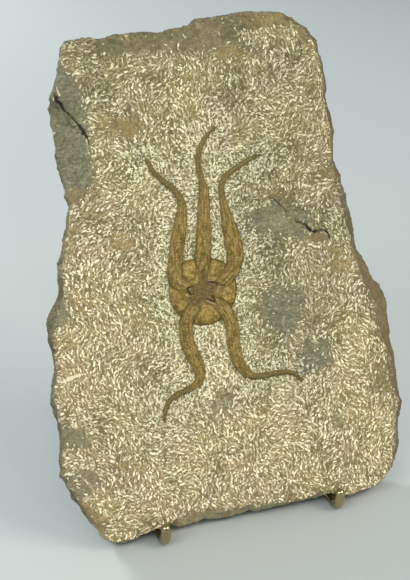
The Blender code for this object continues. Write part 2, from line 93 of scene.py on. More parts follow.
SHADE_LINES = [
    [(24.7, 94.6, 0.1), (26.0, 94.3, 0.25), (27.2, 93.7, 0.28), (28.1, 92.6, 0.15)],
    [(11.2, 98.4, 0.15), (12.7, 98.1, 0.22)],
    [(13.5, 97.6, 0.22), (14.9, 97.6, 0.15)],
    [(13.1, 98.2, 0.1), (13.0, 96.6, 0.16), (12.4, 94.9, 0.12)],
    [(31.7, 143.9, 0.2), (32.2, 142.1, 0.3), (31.6, 139.7, 0.15)],
    [(-24.6, 68.4, 0.2), (-24.1, 67.6, 0.2)],
]
# Painted highlights along sharp edges, drawn in the same way
EDGE_HIGHLIGHTS = [
    [(-43.5, 135.7, 0.08), (-43.2, 134.7, 0.2), (-42.9, 133.6, 0.26)],
    [(-44.7, 133.1, 0.12), (-44.6, 132.3, 0.22)],
    [(-45.5, 124.2, 0.2), (-45.2, 123.2, 0.35)],
    [(-36.0, 118.6, 0.15), (-34.6, 117.2, 0.2)],
    [(-52.4, 52.8, 0.3), (-49.4, 53.8, 0.5), (-45.8, 54.4, 0.2)],
]
# Where the bed steps down into the spall, besides its crack
SPALL_INNER = [(-40.9, 140.3), (-39.1, 139.8), (-38.6, 136.2), (-37.5, 131.1), (-36.7, 127.0), (-36.8, 122.8)]
SPALL_FOOT = [(-37.0, 119.2), (-36.5, 112.6), (-37.3, 109.0), (-39.6, 106.9)]
SPALL_BOX = (-36.9, 105.0, 134.0)  # the lower facet lies left of this u and between these v
LINE_DEPTH = (-6.0, -4.5)  # lines fade out between these w, down the sides
LINE_REACH = 0.5  # and over this far past their ends
LINE_GAP_MOST = 50.0

# Patches the scribe left bare or nearly so: stain, its strength, how bare, and outline (u, v)
PATCHES = [
    ("grey", 1.0, 1.0, [
        (-43.0, 142.3), (-40.0, 140.6), (-38.7, 139.4), (-38.5, 136.5), (-37.2, 134.7), (-37.0, 131.9),
        (-35.6, 129.5), (-35.8, 125.5), (-36.4, 120.8), (-39.5, 122.0), (-42.5, 127.0), (-45.5, 131.0),
        (-44.8, 134.6), (-44.0, 138.5),
    ]),
    ("grey", 1.0, 1.0, [
        (-47.3, 134.5), (-43.2, 134.0), (-41.4, 130.8), (-39.4, 128.0), (-37.2, 125.0), (-36.3, 121.5),
        (-36.1, 119.1), (-36.2, 115.4), (-35.8, 111.4), (-36.5, 108.0), (-38.8, 106.5), (-45.0, 106.0),
        (-47.2, 111.1), (-48.3, 116.3), (-49.6, 122.6), (-49.2, 127.2), (-48.7, 131.6),
    ]),
    ("brown", 0.8, 1.0, [(-45.2, 107.8), (-37.9, 107.1), (-39.4, 104.7), (-41.4, 102.6), (-45.2, 103.5)]),
    ("grey", 0.35, 0.93, [
        (-30.6, 149.0), (-27.2, 151.0), (-20.5, 152.9), (-11.6, 152.4), (-5.4, 153.5), (2.0, 154.7),
        (1.0, 143.4), (-3.3, 143.0), (-7.5, 143.6), (-12.4, 143.3), (-15.3, 144.1), (-18.5, 142.8),
        (-21.9, 143.9), (-25.0, 142.9), (-29.1, 143.2), (-31.0, 144.4),
    ]),
    ("grey", 0.45, 0.95, [
        (0.9, 154.9), (13.5, 155.8), (13.2, 150.8), (11.4, 146.3), (14.1, 144.9), (18.0, 142.6), (19.1, 141.1),
        (17.6, 139.4), (15.2, 140.7), (13.2, 142.9), (9.9, 144.6), (6.8, 144.8), (4.1, 143.2), (1.0, 142.8),
    ]),
    ("ochre", 0.7, 1.0, [
        (4.2, 143.8), (6.8, 145.1), (10.0, 144.9), (12.6, 143.0), (12.0, 140.6), (8.2, 140.6), (5.6, 140.2),
        (3.9, 141.4),
    ]),
    ("brown", 0.5, 0.9, [
        (13.5, 155.8), (29.9, 155.3), (29.6, 150.6), (28.0, 148.6), (24.6, 149.7), (20.0, 149.3), (16.1, 148.9),
        (13.2, 147.9),
    ]),
    ("grey", 0.85, 0.97, [
        (4.4, 90.6), (5.4, 93.0), (8.0, 94.1), (10.3, 94.8), (12.7, 95.5), (13.8, 96.4), (16.5, 96.8),
        (18.2, 98.2), (21.0, 96.7), (22.4, 94.7), (25.4, 95.0), (27.9, 94.1), (29.4, 92.4), (29.8, 89.9),
        (28.9, 87.9), (27.7, 86.3), (26.0, 85.4), (23.4, 85.6), (20.5, 86.2), (17.4, 87.3), (14.6, 88.2),
        (11.8, 88.3), (8.0, 88.2), (5.6, 88.7),
    ]),
    ("brown", 0.9, 0.95, [
        (27.7, 86.2), (29.0, 86.4), (30.3, 85.9), (31.7, 86.4), (33.7, 86.1), (34.5, 84.5), (33.7, 83.1),
        (30.7, 83.1), (28.4, 84.0), (27.2, 85.0),
    ]),
    ("brown", 0.4, 0.0, [(12.0, 134.0), (38.0, 136.0), (40.5, 104.0), (30.0, 99.0), (20.0, 112.0)]),
    ("brown", 0.6, 0.8, [
        (16.3, 100.8), (20.8, 100.9), (23.9, 99.4), (25.1, 95.3), (22.1, 94.7), (19.1, 96.9), (16.6, 98.3),
    ]),
    ("grey", 1.0, 0.85, [
        (13.6, 72.7), (17.8, 72.1), (19.9, 70.7), (25.0, 68.8), (24.4, 66.4), (23.4, 63.5), (22.1, 61.2),
        (20.0, 60.2), (18.8, 58.6), (18.2, 55.6), (15.8, 55.3), (13.4, 59.6), (11.3, 61.4), (9.6, 63.5),
        (9.3, 66.6), (10.3, 69.2), (12.1, 70.8),
    ]),
    ("grey", 1.0, 0.9, [
        (20.6, 50.6), (21.8, 52.9), (25.0, 54.0), (28.6, 53.5), (31.1, 51.5), (32.4, 48.9), (31.1, 46.2),
        (28.7, 45.4), (26.2, 44.2), (23.0, 43.1), (20.9, 45.0), (19.9, 47.9),
    ]),
    ("grey", 0.7, 0.55, [
        (-12.7, 38.5), (-9.8, 39.8), (-5.0, 40.2), (-2.3, 41.3), (-1.0, 39.3), (-2.5, 37.1), (-7.8, 35.0),
        (-9.9, 35.9),
    ]),
    ("grey", 0.7, 0.8, [
        (-57.3, 41.9), (-51.6, 40.6), (-48.9, 39.3), (-46.1, 37.6), (-45.6, 35.2), (-47.3, 32.9), (-50.9, 34.1),
        (-57.5, 35.6),
    ]),
    ("grey", 0.7, 0.75, [
        (-53.2, 27.3), (-48.9, 27.3), (-45.5, 25.8), (-45.7, 22.3), (-48.2, 20.5), (-50.8, 18.6), (-53.9, 18.1),
        (-56.2, 25.3),
    ]),
    ("brown", 0.6, 0.95, [
        (-55.3, 18.3), (-50.1, 17.7), (-47.5, 15.1), (-45.2, 12.3), (-44.5, 8.3), (-47.7, 5.6), (-51.8, 8.6),
        (-55.3, 14.6),
    ]),
    ("brown", 0.8, 0.95, [
        (43.7, 77.5), (48.8, 74.2), (54.0, 66.3), (56.0, 53.0), (53.2, 48.1), (48.9, 50.1), (48.1, 54.7),
        (47.5, 58.9), (48.3, 62.9), (46.2, 65.7), (44.5, 69.6), (43.3, 73.9),
    ]),
    ("ochre", 0.9, 0.8, [(48.3, 63.2), (53.1, 63.4), (54.4, 58.8), (53.2, 53.8), (49.1, 54.8), (47.8, 58.8)]),
    ("brown", 0.8, 0.8, [
        (44.5, 43.0), (48.5, 44.6), (55.8, 43.1), (55.2, 33.3), (48.2, 32.9), (45.7, 35.2), (43.6, 38.4),
    ]),
    ("grey", 0.9, 0.9, [
        (-53.4, 78.0), (-48.6, 76.6), (-47.6, 73.0), (-48.9, 69.7), (-51.3, 68.9), (-57.0, 66.6), (-57.8, 70.6),
        (-56.5, 74.4),
    ]),
    ("ochre", 0.8, 0.95, [
        (-29.7, 123.7), (-28.3, 125.3), (-25.4, 125.3), (-23.2, 124.0), (-20.7, 121.8), (-21.2, 120.1),
        (-24.8, 120.1), (-28.3, 120.7), (-29.9, 122.0),
    ]),
    ("ochre", 0.9, 0.3, [(-34.3, 126.3), (-32.0, 128.4), (-30.4, 127.7), (-30.1, 124.9), (-31.8, 123.3)]),
    ("ochre", 0.7, 0.55, [
        (-32.8, 93.9), (-29.7, 94.7), (-28.3, 92.0), (-24.7, 89.2), (-27.0, 87.2), (-30.5, 87.9), (-32.6, 90.5),
    ]),
    ("ochre", 0.9, 0.5, [(-47.2, 76.5), (-44.4, 75.5), (-44.2, 72.1), (-46.6, 71.8), (-47.8, 73.7)]),
    ("grey", 0.2, 0.1, [
        (23.4, 20.6), (27.6, 21.2), (32.6, 17.7), (33.3, 11.9), (31.2, 8.5), (27.4, 8.0), (25.0, 10.9),
        (26.8, 14.4), (24.4, 17.3),
    ]),
    ("grey", 0.8, 0.8, [(7.7, 41.5), (9.6, 41.5), (9.7, 39.1), (8.3, 38.4), (7.1, 39.5)]),
    ("grey", 0.6, 0.6, [(32.5, 34.1), (33.7, 33.3), (31.7, 28.0), (29.4, 25.2), (28.9, 27.2), (30.8, 31.3)]),
    ("brown", 0.6, 0.6, [
        (30.2, 152.6), (38.6, 148.0), (39.4, 141.8), (34.7, 141.3), (32.5, 144.5), (30.8, 147.5),
    ]),
    ("brown", 0.5, 0.6, [(38.9, 110.8), (41.0, 102.8), (35.6, 102.5), (34.7, 106.2)]),
    ("ochre", 0.6, 0.6, [(34.4, 80.5), (37.9, 81.3), (38.0, 76.4), (36.1, 72.3), (34.0, 74.4)]),
]
# Soft ellipses over the face, as centre u, v, half sizes and strength: the stone is dull near the hollow and pale
# at the foot, the bare bands and chips are darkened by painted shade, and there are broad stains under the strokes
DULL_ZONES = [
    (26.0, 96.0, 26.0, 26.0, 0.9), (22.0, 138.0, 30.0, 18.0, 0.7), (-24.0, 148.0, 34.0, 9.0, 1.0),
    (-30.0, 138.0, 24.0, 14.0, 0.5), (20.0, 62.0, 20.0, 16.0, 0.7), (26.0, 49.0, 9.0, 8.0, 0.9),
    (-20.0, 112.0, 12.0, 8.0, 0.3), (51.0, 38.0, 8.0, 9.0, 0.9), (-52.0, 37.0, 6.0, 6.0, 0.5),
    (-41.3, 115.0, 8.0, 12.0, 0.45), (0.0, 149.5, 14.0, 5.5, 0.8), (-42.0, 131.0, 5.0, 9.0, 0.75),
    (50.5, 62.0, 6.5, 15.0, 0.6), (40.0, 143.0, 5.0, 9.0, 0.9),
]
PALE_ZONES = [
    (10.0, 14.0, 55.0, 26.0, 1.0), (-42.0, 60.0, 16.0, 40.0, 0.6), (40.0, 34.0, 20.0, 26.0, 0.7),
    (-8.0, 54.0, 14.0, 16.0, 0.5), (24.6, 11.0, 6.0, 7.0, 0.9), (22.0, 90.7, 10.0, 3.6, 1.2),
    (-42.0, 11.0, 9.0, 7.0, 1.0),
]
# Painted shade: ellipses where the colour is made darker, on the bare bands and chips
PAINTED_SHADE_BANDS = [
    (-33.0, 147.5, 9.0, 6.0, 0.15), (-20.0, 149.5, 15.0, 6.0, 0.17), (6.0, 150.0, 12.0, 7.0, 0.14),
    (18.5, 92.0, 13.0, 5.0, 0.08), (50.5, 62.0, 6.5, 15.0, 0.06), (-43.0, 131.0, 5.0, 9.0, 0.05),
]
OCHRE_STAINS = [
    (15.3, 100.9, 4.6, 3.0, 0.5), (-30.0, 23.6, 6.0, 4.0, 0.6), (-2.3, 20.0, 6.0, 4.0, 0.6),
    (-44.6, 14.5, 4.5, 4.5, 0.8), (-45.8, 75.7, 3.5, 5.0, 0.7), (40.6, 75.1, 4.0, 4.0, 0.8),
    (33.0, 120.0, 5.0, 9.0, 0.5), (36.0, 58.0, 6.0, 6.0, 0.5), (-46.0, 96.0, 3.0, 8.0, 0.5),
    (-10.0, 130.0, 8.0, 5.0, 0.4), (38.0, 30.0, 7.0, 6.0, 0.5), (-20.0, 108.0, 5.0, 4.0, 0.4),
    (-48.0, 55.0, 6.0, 12.0, 0.7), (45.0, 24.0, 6.0, 8.0, 0.7), (2.0, 33.0, 7.0, 4.0, 0.6),
]
ELLIPSE_EDGE = (0.55, 1.25)  # an ellipse fades between these shares of its half sizes

# Painted light and shade on the broken edge: its colour is made darker than the face's, as painted shade, and its
# foot is painted lighter, as if light from the table fell on it
EDGE_PAINTED_SHADE = 0.24
LOW_EDGE_PAINTED_LIGHT = 0.9
LOW_EDGE_V = (8.5, 14.0)
LOW_EDGE_W = (-9.0, -5.0)
# The scribe went over the right rim but at a gap between these v
BEVEL_CUT = 1.2
BEVEL_CUT_U = (24.0, 32.0)
BEVEL_GAP_LOW, BEVEL_GAP_HIGH = (44.0, 50.0), (63.0, 69.0)

CHIP_SEED = 3  # noise_vector, which tilts the chips, would otherwise differ from run to run
CHIP_TILT = 1.6
noise.seed_set(CHIP_SEED)


def slab_coordinates(points):
    """Row-frame points in metres, as an array, in slab coordinates in millimetres."""
    from_foot = (points - np.array(SLAB_FOOT)) / MM
    return np.stack([from_foot[:, 0], from_foot @ np.array(UP_SLOPE), from_foot @ np.array(OUTWARD)], axis=1)


def row_points(uvw):
    """Slab coordinates in millimetres, as an array, in the row frame in metres."""
    axes = np.array([(1.0, 0.0, 0.0), UP_SLOPE, OUTWARD])
    return np.array(SLAB_FOOT) + uvw @ axes * MM


def smooth_step(low, high, x):
    t = np.clip((x - low) / (high - low), 0.0, 1.0)
    return t * t * (3.0 - 2.0 * t)


def line_distance(uv, line):
    """Distance in millimetres of each (u, v) from a line through points."""
    nearest = np.full(len(uv), FAR)
    points = np.array([corner[:2] for corner in line])
    for a, b in zip(points[:-1], points[1:]):
        share = np.clip((uv - a) @ (b - a) / ((b - a) @ (b - a)), 0.0, 1.0)
        nearest = np.minimum(nearest, np.linalg.norm(uv - a - share[:, None] * (b - a), axis=1))
    return nearest


def nearest_line(uv, lines):
    return np.min([line_distance(uv, line) for line in lines], axis=0)


def line_gap(uv, line):
    """How far each (u, v) is from a line of (u, v, half width), in half widths and negative to its left; and how
    far it is past the line's ends, in millimetres."""
    nearest, gap, past = np.full(len(uv), FAR), np.full(len(uv), FAR), np.zeros(len(uv))
    points = np.array(line)
    for k, (a, b) in enumerate(zip(points[:-1], points[1:])):
        run = b[:2] - a[:2]
        share = (uv - a[:2]) @ run / (run @ run)
        held = np.clip(share, 0.0, 1.0)
        away = uv - a[:2] - held[:, None] * run
        distance = np.linalg.norm(away, axis=1)
        better = distance < nearest
        side = np.sign(run[1] * away[:, 0] - run[0] * away[:, 1])
        before, after = np.maximum(-share, 0.0) * (k == 0), np.maximum(share - 1.0, 0.0) * (k == len(points) - 2)
        nearest = np.where(better, distance, nearest)
        gap = np.where(better, side * distance / (a[2] + held * (b[2] - a[2])), gap)
        past = np.where(better, (before + after) * np.linalg.norm(run), past)
    return gap, past


def line_attributes(mesh, name, uv, lines, shown):
    """Two attributes that let a material draw thin lines finer than the mesh: the gap, and how far they reach."""
    gaps, reaches = np.full(len(uv), LINE_GAP_MOST), np.zeros(len(uv))
    for line in lines:
        gap, past = line_gap(uv, line)
        nearer = np.abs(gap) < np.abs(gaps)
        gaps = np.where(nearer, gap, gaps)
        reaches = np.where(nearer, 1.0 - smooth_step(0.0, LINE_REACH, past), reaches)
    add_attribute(mesh, name + "_gap", np.clip(gaps, -LINE_GAP_MOST, LINE_GAP_MOST))
    add_attribute(mesh, name + "_reach", reaches * shown)


def inside_outline(uv, outline):
    crossings = np.zeros(len(uv), dtype=int)
    for a, b in zip(outline, outline[1:] + outline[:1]):
        spans = (a[1] > uv[:, 1]) != (b[1] > uv[:, 1])
        meets = a[0] + (uv[:, 1] - a[1]) * (b[0] - a[0]) / (b[1] - a[1] + 1e-12)
        crossings += spans & (uv[:, 0] < meets)
    return crossings % 2 == 1


def depth_inside(uv, outline):
    """Distance in millimetres of each (u, v) inside a closed outline, negative outside it."""
    distance = line_distance(uv, outline + outline[:1])
    return np.where(inside_outline(uv, outline), distance, -distance)


def stain_strength(uv, stains):
    """The strongest of some soft-edged ellipses at each (u, v)."""
    strength = np.zeros(len(uv))
    for u, v, half_u, half_v, most in stains:
        away = np.hypot((uv[:, 0] - u) / half_u, (uv[:, 1] - v) / half_v)
        strength = np.maximum(strength, most * (1.0 - smooth_step(*ELLIPSE_EDGE, away)))
    return strength


def vertex_vectors(mesh, field="co"):
    """The places or normals of a mesh's vertices, as an array."""
    found = np.empty(len(mesh.vertices) * 3)
    mesh.vertices.foreach_get(field, found)
    return found.reshape(-1, 3)


def set_vertex_places(mesh, places):
    mesh.vertices.foreach_set("co", places.ravel())
    mesh.update()


def corner_vertices(mesh):
    found = np.empty(len(mesh.loops), dtype=np.int32)
    mesh.loops.foreach_get("vertex_index", found)
    return found


def fractal(points, wavelength, octaves, seed):
    """Smooth fractal noise of about -1 to 1 at each point, with its coarsest wave given in the points' unit."""
    shift = Vector((seed * 17.3, seed * 5.1, seed * 9.7))
    return np.array([noise.fractal(Vector(p) / wavelength + shift, 1.0, 2.0, octaves) for p in points])


def chipped(points, size, seed):
    """Flat chips at random tilts, each about as wide as size; about -0.5 to 0.5 of a size high."""
    shift = Vector((seed * 11.3, seed * 3.9, seed * 7.7))
    heights = np.empty(len(points))
    for k, p in enumerate(points):
        place = Vector(p) / size + shift
        centre = noise.voronoi(place)[1][0]
        heights[k] = (place - centre).dot(noise.noise_vector(centre * 7.31) * CHIP_TILT)
    return heights


def add_attribute(mesh, name, values):
    layer = mesh.attributes.new(name, "FLOAT", "POINT")
    layer.data.foreach_set("value", np.ascontiguousarray(values, dtype=np.float32))


def add_object(name, data):
    made = bpy.data.objects.new(name, data)
    bpy.context.scene.collection.objects.link(made)
    return made


def only_active(piece):
    bpy.ops.object.select_all(action="DESELECT")
    piece.select_set(True)
    bpy.context.view_layer.objects.active = piece


def edit_all(piece):
    """Goes into edit mode with all of a piece selected."""
    only_active(piece)
    bpy.ops.object.mode_set(mode="EDIT")
    bpy.ops.mesh.select_all(action="SELECT")


def to_object_mode():
    bpy.ops.object.mode_set(mode="OBJECT")


def make_triangles():
    bpy.ops.mesh.quads_convert_to_tris(quad_method="BEAUTY", ngon_method="BEAUTY")


def finish_mesh(mesh, material):
    """Shades a mesh smooth, in one material."""
    mesh.polygons.foreach_set("use_smooth", np.ones(len(mesh.polygons), dtype=bool))
    mesh.materials.clear()
    mesh.materials.append(material)


slab_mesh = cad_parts["slab"].data.copy()
slab_mesh.materials.clear()
slab_stone = add_object("siltstone_slab", slab_mesh)
edit_all(slab_stone)
bpy.ops.mesh.remove_doubles(threshold=MERGE_DISTANCE)
to_object_mode()

# The face, the broken edge and the back are told apart by depth; then the whole solid is cut finer
uvw = slab_coordinates(vertex_vectors(slab_mesh))
regions = np.full(len(slab_mesh.polygons), REGION_EDGE)
for polygon in slab_mesh.polygons:
    corners = uvw[list(polygon.vertices)]
    u, v, _ = corners.mean(axis=0)
    in_spall = u < SPALL_BOX[0] and SPALL_BOX[1] < v < SPALL_BOX[2]
    steep = polygon.normal.dot(OUTWARD) < STEEP
    if corners[:, 2].min() > (SPALL_DEPTH if in_spall else FACE_DEPTH) and not (in_spall and steep):
        regions[polygon.index] = REGION_FACE
    elif corners[:, 2].max() < BACK_DEPTH:
        regions[polygon.index] = REGION_BACK
region_layer = slab_mesh.attributes.new("region", "INT", "FACE")
region_layer.data.foreach_set("value", regions.astype(np.int32))
edit_all(slab_stone)
bpy.ops.mesh.subdivide(number_cuts=SLAB_CUTS)
make_triangles()
to_object_mode()
regions = np.empty(len(slab_mesh.polygons), dtype=np.int32)
slab_mesh.attributes["region"].data.foreach_get("value", regions)

# Which points lie on the face, on its rim, or behind it, and how far from the rim
places = vertex_vectors(slab_mesh)
corner_points = corner_vertices(slab_mesh)
corner_regions = np.repeat(regions, 3)
touching = {}
for region in (REGION_FACE, REGION_EDGE, REGION_BACK):
    touching[region] = np.zeros(len(places), dtype=bool)
    touching[region][corner_points[corner_regions == region]] = True
on_face, on_back = touching[REGION_FACE], touching[REGION_BACK]
rim_points = np.flatnonzero(on_face & (touching[REGION_EDGE] | on_back))
rim = KDTree(len(rim_points))
for index in rim_points:
    rim.insert(places[index], int(index))
rim.balance()
rim_distance = np.array([rim.find(place)[2] for place in places]) / MM
rim_distance = np.where(on_face, rim_distance, -rim_distance)

# The bed is evened out between the cracks, where the coarse solid shows its facets
EVEN_FACTOR, EVEN_ROUNDS = 0.6, 90
uv = slab_coordinates(places)[:, :2]
crack_distance = nearest_line(uv, [SPALL_CRACK, SPALL_INNER, SPALL_FOOT] + HOLLOW_CRACKS)
even = slab_stone.vertex_groups.new(name="even_bed")
weights = on_face * smooth_step(0.4, 2.5, rim_distance) * smooth_step(0.5, 2.0, crack_distance)
for index in np.flatnonzero(weights > 0.0):
    even.add([int(index)], float(weights[index]), "REPLACE")
evening = slab_stone.modifiers.new("even_bed", "SMOOTH")
evening.vertex_group = even.name
evening.factor = EVEN_FACTOR
evening.iterations = EVEN_ROUNDS
only_active(slab_stone)
bpy.ops.object.modifier_apply(modifier=evening.name)

# Fine relief: gentle on the face, chipped and hackly on the broken edge, rough on the natural back
EDGE_RELIEF, EDGE_CHIPS = 0.34, 0.55
FACE_RELIEF = 0.10
BACK_RELIEF, BACK_CHIPS = 0.35, 2.2
BACK_MOST = 0.12  # the back is only chipped away, hardly ever built up
BOW_TOUCH_V = 88.0  # the stand's bow touches the back at this height, where the back stays nearly flat
CRACK_DEPTH = 0.6
RELIEF_WAVES = ((7.0, 3, 1), (2.6, 3, 2), (1.1, 2, 3))  # wavelength, octaves and seed, from coarse to fine
EDGE_CHIP_SIZES, BACK_CHIP_SIZES = (5.5, 2.3), (17.0, 6.0)
places = vertex_vectors(slab_mesh)
uvw = slab_coordinates(places)
uv = uvw[:, :2]
coarse, middle, fine = (fractal(uvw, *row) for row in RELIEF_WAVES)
face_share = smooth_step(-0.2, 0.8, rim_distance)
edge_share = (1.0 - face_share) * ~on_back
chips = np.zeros(len(uvw))
near_rim = uvw[edge_share > 0.0]
large, small = EDGE_CHIP_SIZES
chips[edge_share > 0.0] = chipped(near_rim, large, 4) + 0.55 * chipped(near_rim, small, 5)
chips[edge_share > 0.0] *= 0.3 + 0.8 * smooth_step(-0.35, 0.35, fractal(near_rim, 17.0, 2, 8))
lift = edge_share * (EDGE_CHIPS * chips + EDGE_RELIEF * (0.6 * coarse + 0.5 * middle + 0.3 * fine))
large, small = BACK_CHIP_SIZES
chips[on_back] = chipped(uvw[on_back] * (1.0, 1.0, 0.3), large, 6) + 0.4 * chipped(uvw[on_back], small, 7)
off_bow = 0.2 + 0.8 * smooth_step(4.0, 13.0, np.abs(uvw[:, 1] - BOW_TOUCH_V))
back_lift = BACK_RELIEF * (0.7 * coarse + 0.6 * middle) + BACK_CHIPS * off_bow * chips
lift += on_back * np.minimum(back_lift, BACK_MOST)
lift += face_share * FACE_RELIEF * (0.9 * coarse + 0.7 * middle + 0.35 * fine)
in_front = smooth_step(*LINE_DEPTH, uvw[:, 2])
crack_distance = nearest_line(uv, [SPALL_CRACK] + HOLLOW_CRACKS)
lift -= CRACK_DEPTH * (1.0 - smooth_step(0.02, 0.6, crack_distance + 0.1 * fine)) * in_front
places += vertex_vectors(slab_mesh, "normal") * (lift * MM)[:, None]
slab_box = [np.array(corner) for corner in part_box("slab")]
set_vertex_places(slab_mesh, np.clip(places, slab_box[0], slab_box[1]))

# What the surface shows: cut by the scribe, stained, bare, close to the animal, in a crack; and painted light and
# shade
star_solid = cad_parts["brittle_star"].data
animal = BVHTree.FromPolygons([tuple(v.co) for v in star_solid.vertices],
                              [tuple(p.vertices) for p in star_solid.polygons])
animal_distance = np.full(len(uvw), FAR)
for index in np.flatnonzero(on_face):
    animal_distance[index] = animal.find_nearest(Vector(places[index]))[3] / MM
bare = np.zeros(len(uvw))
stains = {"grey": np.zeros(len(uvw)), "brown": np.zeros(len(uvw)), "ochre": stain_strength(uv, OCHRE_STAINS)}
for kind, strength, bareness, outline in PATCHES:
    depth = depth_inside(uv, outline) + 1.1 * middle + 0.5 * fine
    stains[kind] = np.maximum(stains[kind], strength * smooth_step(-1.6, 1.2, depth))
    bare = np.maximum(bare, bareness * smooth_step(-1.2, 1.2, depth))
off_gap = smooth_step(*BEVEL_GAP_HIGH, uv[:, 1]) + 1.0 - smooth_step(*BEVEL_GAP_LOW, uv[:, 1])
bevel_cut = BEVEL_CUT * smooth_step(*BEVEL_CUT_U, uv[:, 0]) * off_gap
scribed = smooth_step(-2.2, -0.6, rim_distance + bevel_cut + 0.7 * middle + 0.5 * fine)
low_edge = (1.0 - smooth_step(*LOW_EDGE_V, uv[:, 1])) * smooth_step(*LOW_EDGE_W, uvw[:, 2])
painted_edge_light = smooth_step(0.4, 2.0, -rim_distance) * (LOW_EDGE_PAINTED_LIGHT * low_edge - EDGE_PAINTED_SHADE)
# Two of these are painted: light and shade on the broken edge and the bands, and shade just beside the animal
shown = {
    "face": scribed, "cut": scribed * (1.0 - bare), "lit": 1.0 + painted_edge_light - stain_strength(uv, PAINTED_SHADE_BANDS),
    "tone": stain_strength(uv, PALE_ZONES) - stain_strength(uv, DULL_ZONES) + 0.35 * coarse,
    "near_animal": 1.0 - smooth_step(1.0, 9.0, animal_distance),
    "shade_beside_animal": 1.0 - smooth_step(0.2, 1.0, animal_distance), **stains,
}
for name, values in shown.items():
    add_attribute(slab_mesh, name, values)
line_attributes(slab_mesh, "crack", uv, [SPALL_CRACK] + HOLLOW_CORES, in_front)
line_attributes(slab_mesh, "shade_line", uv, HOLLOW_CRACKS + SHADE_LINES, in_front)
line_attributes(slab_mesh, "edge_highlight", uv, EDGE_HIGHLIGHTS, in_front)


def linear(red, green, blue):
    """A colour given as display values from 0 to 255, for a shader."""
    shares = [c / 255.0 for c in (red, green, blue)]
    return tuple(c / 12.92 if c <= 0.04045 else ((c + 0.055) / 1.055) ** 2.4 for c in shares) + (1.0,)


class Nodes:
    """Adds nodes to one shader tree. Every input may be a value or another node's output."""

    def __init__(self, tree):
        self.tree = tree

    def give(self, socket, value):
        if isinstance(value, bpy.types.NodeSocket):
            self.tree.links.new(value, socket)
        else:
            socket.default_value = value

    def add(self, kind, settings=(), **inputs):
        """A node with some settings and inputs; in0, in1 and so on are inputs by their number."""
        made = self.tree.nodes.new("ShaderNode" + kind)
        for name, value in dict(settings).items():
            setattr(made, name, value)
        for name, value in inputs.items():
            numbered = name.startswith("in") and name[2:].isdigit()
            self.give(made.inputs[int(name[2:]) if numbered else name.replace("_", " ")], value)
        return made

    def math(self, operation, a, b=0.0, clamp=False):
        return self.add("Math", {"operation": operation, "use_clamp": clamp}, in0=a, in1=b).outputs[0]

    def times(self, a, b, clamp=False):
        return self.math("MULTIPLY", a, b, clamp)

    def vector(self, operation, a, **inputs):
        return self.add("VectorMath", {"operation": operation}, in0=a, **inputs).outputs[0]

    def ramp(self, value, low, high, to_low=0.0, to_high=1.0):
        """A value eased from one range to another."""
        return self.add("MapRange", {"interpolation_type": "SMOOTHSTEP"}, Value=value, From_Min=low, From_Max=high,
                        To_Min=to_low, To_Max=to_high).outputs[0]

    def mix(self, factor, a, b, blend="MIX"):
        return self.add("Mix", {"data_type": "RGBA", "blend_type": blend}, in0=factor, in6=a, in7=b).outputs[2]

    def layers(self, colour, *layers):
        """A colour with others laid over it in turn, each given as its share and itself."""
        for share, laid in layers:
            colour = self.mix(share, colour, laid)
        return colour

    def tint(self, colour, by):
        return self.mix(1.0, colour, by, "MULTIPLY")

    def noise(self, vector, wavelength, detail, roughness, shift):
        """Noise from 0 to 1 with its coarsest wave given in the vector's own unit."""
        moved = self.vector("ADD", vector, in1=(shift, shift * 1.7, shift * 0.6))
        return self.add("TexNoise", Vector=moved, Scale=1.0 / wavelength, Detail=detail,
                        Roughness=roughness).outputs["Fac"]

    def noises(self, vector, table):
        return {name: self.noise(vector, *row) for name, row in table.items()}

    def attributes(self, names):
        return {name: self.add("Attribute", {"attribute_name": name}).outputs["Fac"] for name in names}

    def slab_place(self):
        """Slab coordinates in millimetres."""
        turned = self.add("Mapping", {"vector_type": "TEXTURE"}, Vector=self.add("TexCoord").outputs["Object"])
        turned.inputs["Location"].default_value = SLAB_FOOT
        turned.inputs["Rotation"].default_value = (math.pi / 2.0 - LEAN, 0.0, 0.0)
        turned.inputs["Scale"].default_value = (MM, MM, MM)
        return turned.outputs[0]

    def surface(self, shader, colour, grain, strength, depth):
        """Gives a Principled shader its colour, and a fine relief of some depth in millimetres."""
        bump = self.add("Bump", Height=grain, Strength=strength, Distance=depth * MM)
        self.give(shader.inputs["Base Color"], colour)
        self.give(shader.inputs["Normal"], bump.outputs[0])
        self.lay_out()

    def lay_out(self):
        """Spreads the nodes out in columns, by how many steps each is from the output."""
        column = {node.name: 0 for node in self.tree.nodes}
        for _ in self.tree.nodes:
            for link in self.tree.links:
                steps = column[link.to_node.name] + 1
                column[link.from_node.name] = max(column[link.from_node.name], steps)
        filled = {}
        for node in self.tree.nodes:
            k = column[node.name]
            filled[k] = filled.get(k, 0) + 1
            node.location = (-220.0 * k, 320.0 * (2 - filled[k]))


def new_material(name):
    """A material, a helper for its nodes, and its Principled shader."""
    made = bpy.data.materials.new(name)
    made.use_nodes = True
    return made, Nodes(made.node_tree), made.node_tree.nodes["Principled BSDF"]


STROKE_INPUTS = {"Spacing": 1.5, "Direction": 0.0, "Scatter": 1.0, "Length": 1.8, "Width": 0.5, "Share": 0.8}
STROKE_SHORTEST, STROKE_LONGEST = 0.12, 0.5  # half lengths, as shares of Length
STROKE_THINNEST, STROKE_WIDEST = 0.32, 0.62  # half widths, as shares of Width
# How far the painted shade reaches past each stroke
BANK_SHADE_WIDTH = 0.3


